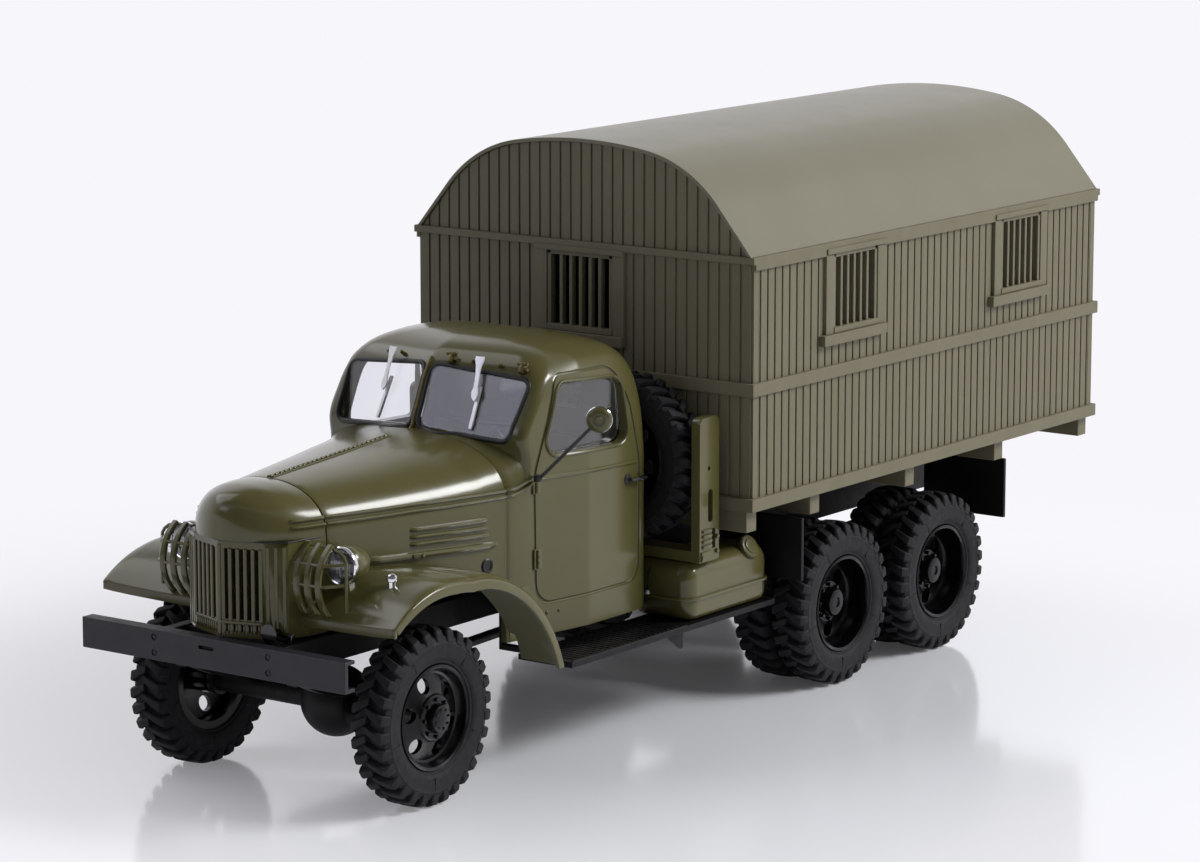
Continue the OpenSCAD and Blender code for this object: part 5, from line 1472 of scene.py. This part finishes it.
POST_X = (23.45, 24.85)
POST_Y = (52.0, 56.6)
POST_TOP_Z = 42.5
CARRIER_Z = (22.75, 24.35)
CLAMP_STEPS = 4


def carrier_piece():
    """The bar across the frame and its two channel posts with their clamps."""
    (x0, x1), (y0, y1) = POST_X, POST_Y
    z0 = CARRIER_Z[0]
    bar = block((0.1 - x1, y0 + 0.1, z0), (x1 - 0.1, y1 - 1.0, CARRIER_Z[1] - 0.04), 0.12)
    outline = rounded_outline([(y0, z0), (y1, z0), (y1, POST_TOP_Z), (y0, POST_TOP_Z)],
                              [0.3, 0.3, 1.0, 1.0], 6)
    web = prism(outline, "x", x0, x1)
    slot = rounded_outline([(54.0, 28.1), (55.1, 28.1), (55.1, 32.6), (54.0, 32.6)], [0.5] * 4, 5)
    slot = prism(slot, "x", x0 - 1, x1 + 1)
    hole = moved(drum(0.32, 4, 16), shifted(x0 - 1, 54.2, POST_TOP_Z - 7) @ turned("Y", 90))
    foot_gap = block((x0 - 1, 54.9, z0 + 1.7), (x1 + 1, 55.7, z0 + 4.4))
    web = rounded_edges(carved(web, [slot, hole, foot_gap]), 0.1, 40)
    step = block((x1 - 0.3, 52.6, z0 + 1.9), (x1 + 0.28, 54.7, z0 + 2.35), 0.1)
    steps = row_of(step, CLAMP_STEPS, (0, 0, 0), (0, 0, 0.72))
    spots = [(56.0, z0 + 1.2), (56.0, z0 + 3.2), (52.6, z0 + 0.7)]
    bolts = studs(hexagon(0.34, 0.35), [((x1 - 0.02, y, z), (1, 0, 0)) for y, z in spots])
    pad = block((x1 - 0.4, 52.3, z0 + 0.1), (x1 + 0.22, 54.5, z0 + 1.5), 0.16)
    feet = block((8.4, 52.4, 22.3), (10, 54.4, z0 + 0.1), 0.06)
    piece("carrier_posts", joined(bar, *[both_sides(s) for s in (web, steps, bolts, pad, feet)]), PAINT,
          replaces=["spare_carrier"])


tank_pieces()
board_pieces()
bumper_pieces()
carrier_piece()


# Van body

SIDE_X = 28.5
VAN_Y = 59.0
VAN_L = 92.2
VAN_BACK_Y = VAN_Y + VAN_L
VAN_Z = 29.1
VAN_H = 34.7
EAVE_Z = VAN_Z + VAN_H
WALL_T = 1.4
ROOF_T = 0.55
BOARD_PITCH = 1.77
GROOVE_D = 0.25
GROOVE_W = 0.3
BELT_D = 0.5
BELT_H = 1.8
GABLE_BELT_H = 1.0
BELT_FOOT = [0, VAN_H * 0.455, VAN_H - BELT_H]
WIN_HALF_W = 5.6
WIN_SILL = 22.0
WIN_HEAD = 33.2
TRIM_W = 1.9
WINDOW_BARS = 5
SIDE_WINDOWS = [24.8, 69.6]
TOUCH = 0.05
VAN_DOOR = (9.5, 2.4, 32.4)
CROWN_R, CROWN_A, SHOULDER_R, EAVE_A = 70, math.radians(9), 20, math.radians(50)
ARCH_STEPS = 20


def arch_half(inset):
    """The roof's line in (x, z) from the crest to the eave, set in."""
    end_x = CROWN_R * math.sin(CROWN_A) + SHOULDER_R * (math.sin(EAVE_A) - math.sin(CROWN_A))
    end_z = CROWN_R * (math.cos(CROWN_A) - 1) + SHOULDER_R * (math.cos(EAVE_A) - math.cos(CROWN_A))
    crest = EAVE_Z + (SIDE_X - end_x) * math.tan(EAVE_A) - end_z
    line = [((CROWN_R - inset) * math.sin(a), crest - CROWN_R + (CROWN_R - inset) * math.cos(a))
            for a in np.linspace(0, CROWN_A, ARCH_STEPS)]
    side = CROWN_R - SHOULDER_R
    line += [(side * math.sin(CROWN_A) + (SHOULDER_R - inset) * math.sin(a),
              crest - CROWN_R + side * math.cos(CROWN_A) + (SHOULDER_R - inset) * math.cos(a))
             for a in np.linspace(CROWN_A, EAVE_A, ARCH_STEPS)[1:]]
    return line + [(SIDE_X - inset / math.sin(EAVE_A), EAVE_Z)]


def arch(inset):
    """The roof's whole line in (x, z), from one eave to the other, set in."""
    half = arch_half(inset)
    return half[:0:-1] + [(-x, z) for x, z in half]


def boards(length, low, high, depth=WALL_T):
    """Upright boards with soft edges side by side, and the wall that they stand on."""
    count = int(length / BOARD_PITCH)
    start = (length - count * BOARD_PITCH) / 2
    board = block((GROOVE_W / 2, 0, low), (BOARD_PITCH - GROOVE_W / 2, GROOVE_D - 0.01, high), 0.09)
    row = row_of(board, count, (start, 0, 0), (BOARD_PITCH, 0, 0))
    for x0, x1 in ((0, start - GROOVE_W / 2), (length - start + GROOVE_W / 2, length)):
        if x1 - x0 > 0.1:
            merge_into(row, block((x0, 0, low), (x1, GROOVE_D - 0.01, high), min(0.09, (x1 - x0) / 3)))
    return row, block((0, GROOVE_D, low), (length, depth, high))


def window_trim(x):
    """The strips and the sill that frame a window."""
    left, right = x - WIN_HALF_W - TRIM_W, x + WIN_HALF_W + TRIM_W
    parts = []
    for s in (-1, 1):
        at = x + s * (WIN_HALF_W + TRIM_W / 2)
        parts.append(block((at - TRIM_W / 2, -BELT_D, WIN_SILL), (at + TRIM_W / 2, 0.2, WIN_HEAD), 0.1))
    parts.append(block((left - 1, -BELT_D - 0.5, WIN_SILL - 1.5), (right, 0.2, WIN_SILL), 0.12))
    parts.append(block((left, -BELT_D - 0.25, WIN_HEAD - 0.1), (right, 0.2, WIN_HEAD + 0.7), 0.12))
    return parts


def window_hole(x):
    """What a window takes out of its wall."""
    return block((x - WIN_HALF_W, -2, WIN_SILL), (x + WIN_HALF_W, WALL_T + 2, WIN_HEAD))


def boarded_wall(length, windows, over, gable=False, door=None):
    """A wall seen from outside: its left end at x = 0, its foot at z = 0, its face at y = 0."""
    row, back = boards(length, 0, VAN_H)
    holes = [window_hole(x) for x in windows]
    if door:
        half, foot, head = door
        holes.append(block((length / 2 - half, -2, foot), (length / 2 + half, WALL_T + 2, head)))
    if holes:
        row, back = carved(row, [h.copy() for h in holes]), carved(back, [h.copy() for h in holes])
    top_h = GABLE_BELT_H if gable else BELT_H
    heights = [(z, BELT_H) for z in BELT_FOOT[:-1]] + [(VAN_H - top_h, top_h)]
    belts = [block((-over, -BELT_D, z), (length + over, GROOVE_D, z + h), 0.1) for z, h in heights]
    if holes:
        belts = [carved(joined(*belts), [h.copy() for h in holes])]
    for hole in holes:
        hole.free()
    parts = [row, back, *belts]
    for x in windows:
        parts += window_trim(x)
    if gable:
        rise = arch_half(0)[0][1] - VAN_Z
        head = arch(ROOF_T + TOUCH)
        outline = head + [(head[-1][0], EAVE_Z - 0.02), (head[0][0], EAVE_Z - 0.02)]
        for layer in boards(length, VAN_H - 0.02, rise):
            limit = moved(prism(outline, "y", -1, WALL_T + 1), shifted(length / 2, 0, -VAN_Z))
            parts.append(carved(layer, [limit], "INTERSECT"))
    return joined(*parts)


SIDE_L = VAN_L - 2 * WALL_T - 2 * TOUCH
SIDE_Y = VAN_Y + WALL_T + TOUCH
ON_FRONT = shifted(-SIDE_X, VAN_Y, VAN_Z)
ON_LEFT = shifted(SIDE_X, SIDE_Y, VAN_Z) @ turned("Z", 90)
ON_RIGHT = shifted(-SIDE_X, SIDE_Y + SIDE_L, VAN_Z) @ turned("Z", -90)
ON_REAR = shifted(SIDE_X, VAN_BACK_Y, VAN_Z) @ turned("Z", 180)


def barred_window(x, head, proud=-0.35):
    """A casement with bars, drawn as boarded_wall() draws its windows."""
    low, high = WIN_SILL + TOUCH, head - TOUCH
    left, right = x - WIN_HALF_W + TOUCH, x + WIN_HALF_W - TOUCH
    rim, deep = 0.6, 0.8
    parts = [
        block((left, proud, low), (left + rim, deep, high), 0.08),
        block((right - rim, proud, low), (right, deep, high), 0.08),
        block((left, proud - 0.25, low), (right, deep, low + rim + 0.2), 0.1),
        block((left, proud, high - rim), (right, deep, high), 0.08),
    ]
    pitch = (right - left - 2 * rim) / (WINDOW_BARS + 1)
    bar = block((-0.28, proud + 0.1, low + rim), (0.28, deep - 0.1, high - rim), 0.1)
    parts.append(row_of(bar, WINDOW_BARS, (left + rim + pitch, 0, 0), (pitch, 0, 0)))
    return joined(*parts)


def van_pieces():
    """The boarded walls, the rear door, the barred windows, the roof and the bearers."""
    front = moved(boarded_wall(2 * SIDE_X, [SIDE_X], BELT_D, True), ON_FRONT)
    piece("van_front_boards", front, VAN, replaces=["van_wall_front"])
    left = boarded_wall(SIDE_L, [y - WALL_T - TOUCH for y in SIDE_WINDOWS], WALL_T)
    piece("van_left_boards", moved(left, ON_LEFT), VAN, replaces=["van_wall_left"])
    right = boarded_wall(SIDE_L, [SIDE_L - y + WALL_T + TOUCH for y in SIDE_WINDOWS], WALL_T)
    piece("van_right_boards", moved(right, ON_RIGHT), VAN, replaces=["van_wall_right"])
    rear = moved(boarded_wall(2 * SIDE_X, [], BELT_D, True, VAN_DOOR), ON_REAR)
    piece("van_rear_boards", rear, VAN, replaces=["van_wall_rear"])

    half, foot, head = VAN_DOOR
    row, back = boards(2 * half - 2 * TOUCH, foot + TOUCH, head - TOUCH)
    pane_hole = block((half - WIN_HALF_W, -2, WIN_SILL), (half + WIN_HALF_W, WALL_T + 2, head - 2))
    leaf = joined(carved(row, [pane_hole.copy()]), carved(back, [pane_hole]))
    for z in (5, 17):
        merge_into(leaf, block((5, -0.3, z), (2 * half - TOUCH, 0.3, z + 1), 0.1))
        spots = [((x, -0.28, z + 0.5), (0, -1, 0)) for x in (6, 9, 12, 15, 18)]
        merge_into(leaf, studs(dome(0.24, 0.16), spots))
    merge_into(leaf, block((1.8, -0.45, 14), (2.6, 0.3, 16.4), 0.16))
    piece("van_door_leaf", moved(leaf, shifted(half, VAN_BACK_Y, VAN_Z) @ turned("Z", 180)), VAN,
          replaces=["van_door"])

    bars = [moved(barred_window(SIDE_X, WIN_HEAD), ON_FRONT),
            moved(barred_window(SIDE_X, VAN_DOOR[2] - 2, -0.15), ON_REAR)]
    on_side = shifted(SIDE_X, VAN_Y, VAN_Z) @ turned("Z", 90)
    bars += [both_sides(moved(barred_window(y, WIN_HEAD), on_side)) for y in SIDE_WINDOWS]
    piece("window_casements", joined(*bars), VAN, replaces=["window_bars"])

    ring = arch(0) + [(-x, z) for x, z in arch(ROOF_T)]
    ends = (VAN_Y - BELT_D * 0.8, VAN_BACK_Y + BELT_D * 0.8)
    roof = rounded_edges(closed_loft([[(x, y, z) for x, z in ring] for y in ends]), 0.14, 50)
    piece("van_roof_sheet", roof, ROOF, replaces=["van_roof"], smooth=math.radians(40))
    piece("van_bearer_timbers", solid_copy("van_bearers", 0.14), VAN,
          replaces=["van_bearers"])


van_pieces()


# Chassis solids with their edges softened

SOFTENED = {
    "frame_rails": 0.1, "crossmembers": 0.08, "front_axle": 0.08, "rear_axles": 0.08, "leaf_springs": 0.06,
    "drivetrain": 0.08, "exhaust": 0.06, "mud_flaps": 0.08, "dashboard": 0.1,
}
for node, soft in SOFTENED.items():
    piece(node + "_softened", solid_copy(node, soft), BLACK, replaces=[node])
piece("horn_shell", solid_copy("horn", 0.1), HORN, replaces=["horn"])
piece("seat_cushions", solid_copy("seat_bench", 0.3), SEAT, replaces=["seat_bench"])


# Carried-over solids and their finishes

CARRIED = {
    VAN: ["van_floor"],
    # The van's panes take the near-black finish: painted shade of the van's inside
    GLASS: ["cab_glass"],
    PAINTED_SHADE_GLASS: ["van_panes"],
}
for finish, names in CARRIED.items():
    for name in names:
        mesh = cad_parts[name].data
        mesh.materials.clear()
        mesh.materials.append(finish)


# Studio: floor, lights and camera

CAMERA_PLACE = (0.341614, -0.471283, 0.142884)
CAMERA_AZIMUTH = 36.11
CAMERA_ELEVATION = 10.394
CAMERA_LENS = 126.83
FLOOR_REACH = 4.0
WHITE_FROM, WHITE_AT = 0.05, 0.165
WHITE_LEAST = 0.04
AIR_LIGHT = 0.2
DIM_ROOM = 0.12
BACKDROP = (0.93, 0.925, 0.965, 1)
AIR = (0.97, 0.975, 1.0, 1)
FRONT_TINT = (0.82, 0.83, 1.0)
# How far round and overhead the backdrop reaches, as cosines
ROUND_FROM, ROUND_TO = -0.3, 0.45
OVERHEAD_FROM, OVERHEAD_TO = 0.6, 0.8
BACKDROP_LEAN = 0.8


def camera_rays(tree):
    """1 where a ray comes from the camera, from a reflection or through a pane."""
    path = tree.nodes.new("ShaderNodeLightPath")
    total = path.outputs["Is Camera Ray"]
    for kind in ("Is Glossy Ray", "Is Transmission Ray"):
        most = tree.nodes.new("ShaderNodeMath")
        most.operation = "MAXIMUM"
        tree.links.new(total, most.inputs[0])
        tree.links.new(path.outputs[kind], most.inputs[1])
        total = most.outputs[0]
    return total


def floor_paper():
    """Pale glossy card that fades to the white backdrop away from the truck."""
    paper = Finish("studio_paper").set(Coat_Weight=0.6, Coat_Roughness=0.09).shades(
        srgb(247, 249, 255), srgb(249, 251, 255), 300).roughness(0.13, 0.16, 120)
    tree = paper.tree
    away = tree.nodes.new("ShaderNodeVectorMath")
    away.operation = "LENGTH"
    fade = tree.nodes.new("ShaderNodeMapRange")
    fade.inputs["From Min"].default_value = WHITE_FROM
    fade.inputs["From Max"].default_value = WHITE_AT
    fade.inputs["To Min"].default_value = WHITE_LEAST
    seen = tree.nodes.new("ShaderNodeMath")
    seen.operation = "MULTIPLY"
    glow = tree.nodes.new("ShaderNodeEmission")
    glow.inputs["Color"].default_value = BACKDROP
    mix = tree.nodes.new("ShaderNodeMixShader")
    tree.links.new(paper.place, away.inputs[0])
    tree.links.new(away.outputs["Value"], fade.inputs["Value"])
    tree.links.new(fade.outputs["Result"], seen.inputs[0])
    tree.links.new(camera_rays(tree), seen.inputs[1])
    tree.links.new(seen.outputs[0], mix.inputs["Fac"])
    tree.links.new(paper.shader.outputs["BSDF"], mix.inputs[1])
    tree.links.new(glow.outputs["Emission"], mix.inputs[2])
    tree.links.new(mix.outputs["Shader"], tree.nodes["Material Output"].inputs["Surface"])
    return paper.material


def studio():
    """A pale glossy floor, a white backdrop and soft lights."""
    bm = bmesh.new()
    bmesh.ops.create_grid(bm, x_segments=8, y_segments=8, size=FLOOR_REACH)
    floor = linked("studio_floor", as_mesh(bm))
    floor.data.materials.append(floor_paper())

    def lamp(name, place, target, size, watts):
        light = bpy.data.lights.new(name, "AREA")
        light.shape = "RECTANGLE"
        light.size, light.size_y = size
        light.energy = watts
        obj = bpy.data.objects.new(name, light)
        bpy.context.scene.collection.objects.link(obj)
        obj.location = place
        obj.rotation_euler = (Vector(target) - Vector(place)).to_track_quat("-Z", "Y").to_euler()
        return obj

    middle = (0, 0, 0.03)
    lamp("softbox_right", (0.8, 0.85, 0.55), middle, (1.0, 1.0), 8.0).visible_glossy = False
    lamp("softbox_side", (0.63, 0.43, 0.62), (0, -0.06, 0.04), (0.42, 0.24), 6.5)
    front = lamp("softbox_front", (-0.307, -0.878, 0.5), (0, -0.04, 0.05), (0.42, 0.3), 0.72)
    front.data.color = FRONT_TINT
    lamp("softbox_left", (-0.62, -0.13, 0.82), (0, -0.05, 0.03), (0.65, 0.65), 2.2)

    world = bpy.data.worlds.new("studio_air")
    world.use_nodes = True
    tree = world.node_tree
    air = tree.nodes["Background"]
    air.inputs["Color"].default_value = AIR
    air.inputs["Strength"].default_value = AIR_LIGHT
    backdrop = tree.nodes.new("ShaderNodeBackground")
    backdrop.inputs["Color"].default_value = BACKDROP
    mix = tree.nodes.new("ShaderNodeMixShader")

    # The backdrop stands behind the truck, and the room behind the camera is dim
    place = tree.nodes.new("ShaderNodeTexCoord")
    ahead = tree.nodes.new("ShaderNodeVectorMath")
    ahead.operation = "DOT_PRODUCT"
    turn = math.radians(CAMERA_AZIMUTH)
    ahead.inputs[1].default_value = (-math.sin(turn), math.cos(turn), BACKDROP_LEAN)
    level = tree.nodes.new("ShaderNodeMapRange")
    level.inputs["From Min"].default_value = ROUND_FROM
    level.inputs["From Max"].default_value = ROUND_TO
    level.inputs["To Min"].default_value = DIM_ROOM
    split = tree.nodes.new("ShaderNodeSeparateXYZ")
    overhead = tree.nodes.new("ShaderNodeMapRange")
    overhead.inputs["From Min"].default_value = OVERHEAD_FROM
    overhead.inputs["From Max"].default_value = OVERHEAD_TO
    overhead.inputs["To Min"].default_value = 1.0
    overhead.inputs["To Max"].default_value = DIM_ROOM
    lower = tree.nodes.new("ShaderNodeMath")
    lower.operation = "MINIMUM"
    path = tree.nodes.new("ShaderNodeLightPath")
    bright = tree.nodes.new("ShaderNodeMath")
    bright.operation = "MAXIMUM"
    tree.links.new(place.outputs["Generated"], ahead.inputs[0])
    tree.links.new(place.outputs["Generated"], split.inputs[0])
    tree.links.new(ahead.outputs["Value"], level.inputs["Value"])
    tree.links.new(split.outputs["Z"], overhead.inputs["Value"])
    tree.links.new(level.outputs["Result"], lower.inputs[0])
    tree.links.new(overhead.outputs["Result"], lower.inputs[1])
    tree.links.new(lower.outputs[0], bright.inputs[0])
    tree.links.new(path.outputs["Is Camera Ray"], bright.inputs[1])
    tree.links.new(bright.outputs[0], backdrop.inputs["Strength"])
    tree.links.new(camera_rays(tree), mix.inputs["Fac"])
    tree.links.new(air.outputs["Background"], mix.inputs[1])
    tree.links.new(backdrop.outputs["Background"], mix.inputs[2])
    tree.links.new(mix.outputs["Shader"], tree.nodes["World Output"].inputs["Surface"])
    bpy.context.scene.world = world
    bpy.context.scene.view_settings.view_transform = "Standard"


def camera():
    """The photograph's viewpoint."""
    data = bpy.data.cameras.new("camera")
    data.sensor_width = 36
    data.sensor_fit = "HORIZONTAL"
    data.lens = CAMERA_LENS
    data.clip_start = 0.01
    obj = bpy.data.objects.new("camera", data)
    bpy.context.scene.collection.objects.link(obj)
    obj.location = CAMERA_PLACE
    obj.rotation_euler = (math.radians(90 - CAMERA_ELEVATION), 0, math.radians(CAMERA_AZIMUTH))
    bpy.context.scene.camera = obj


studio()
camera()
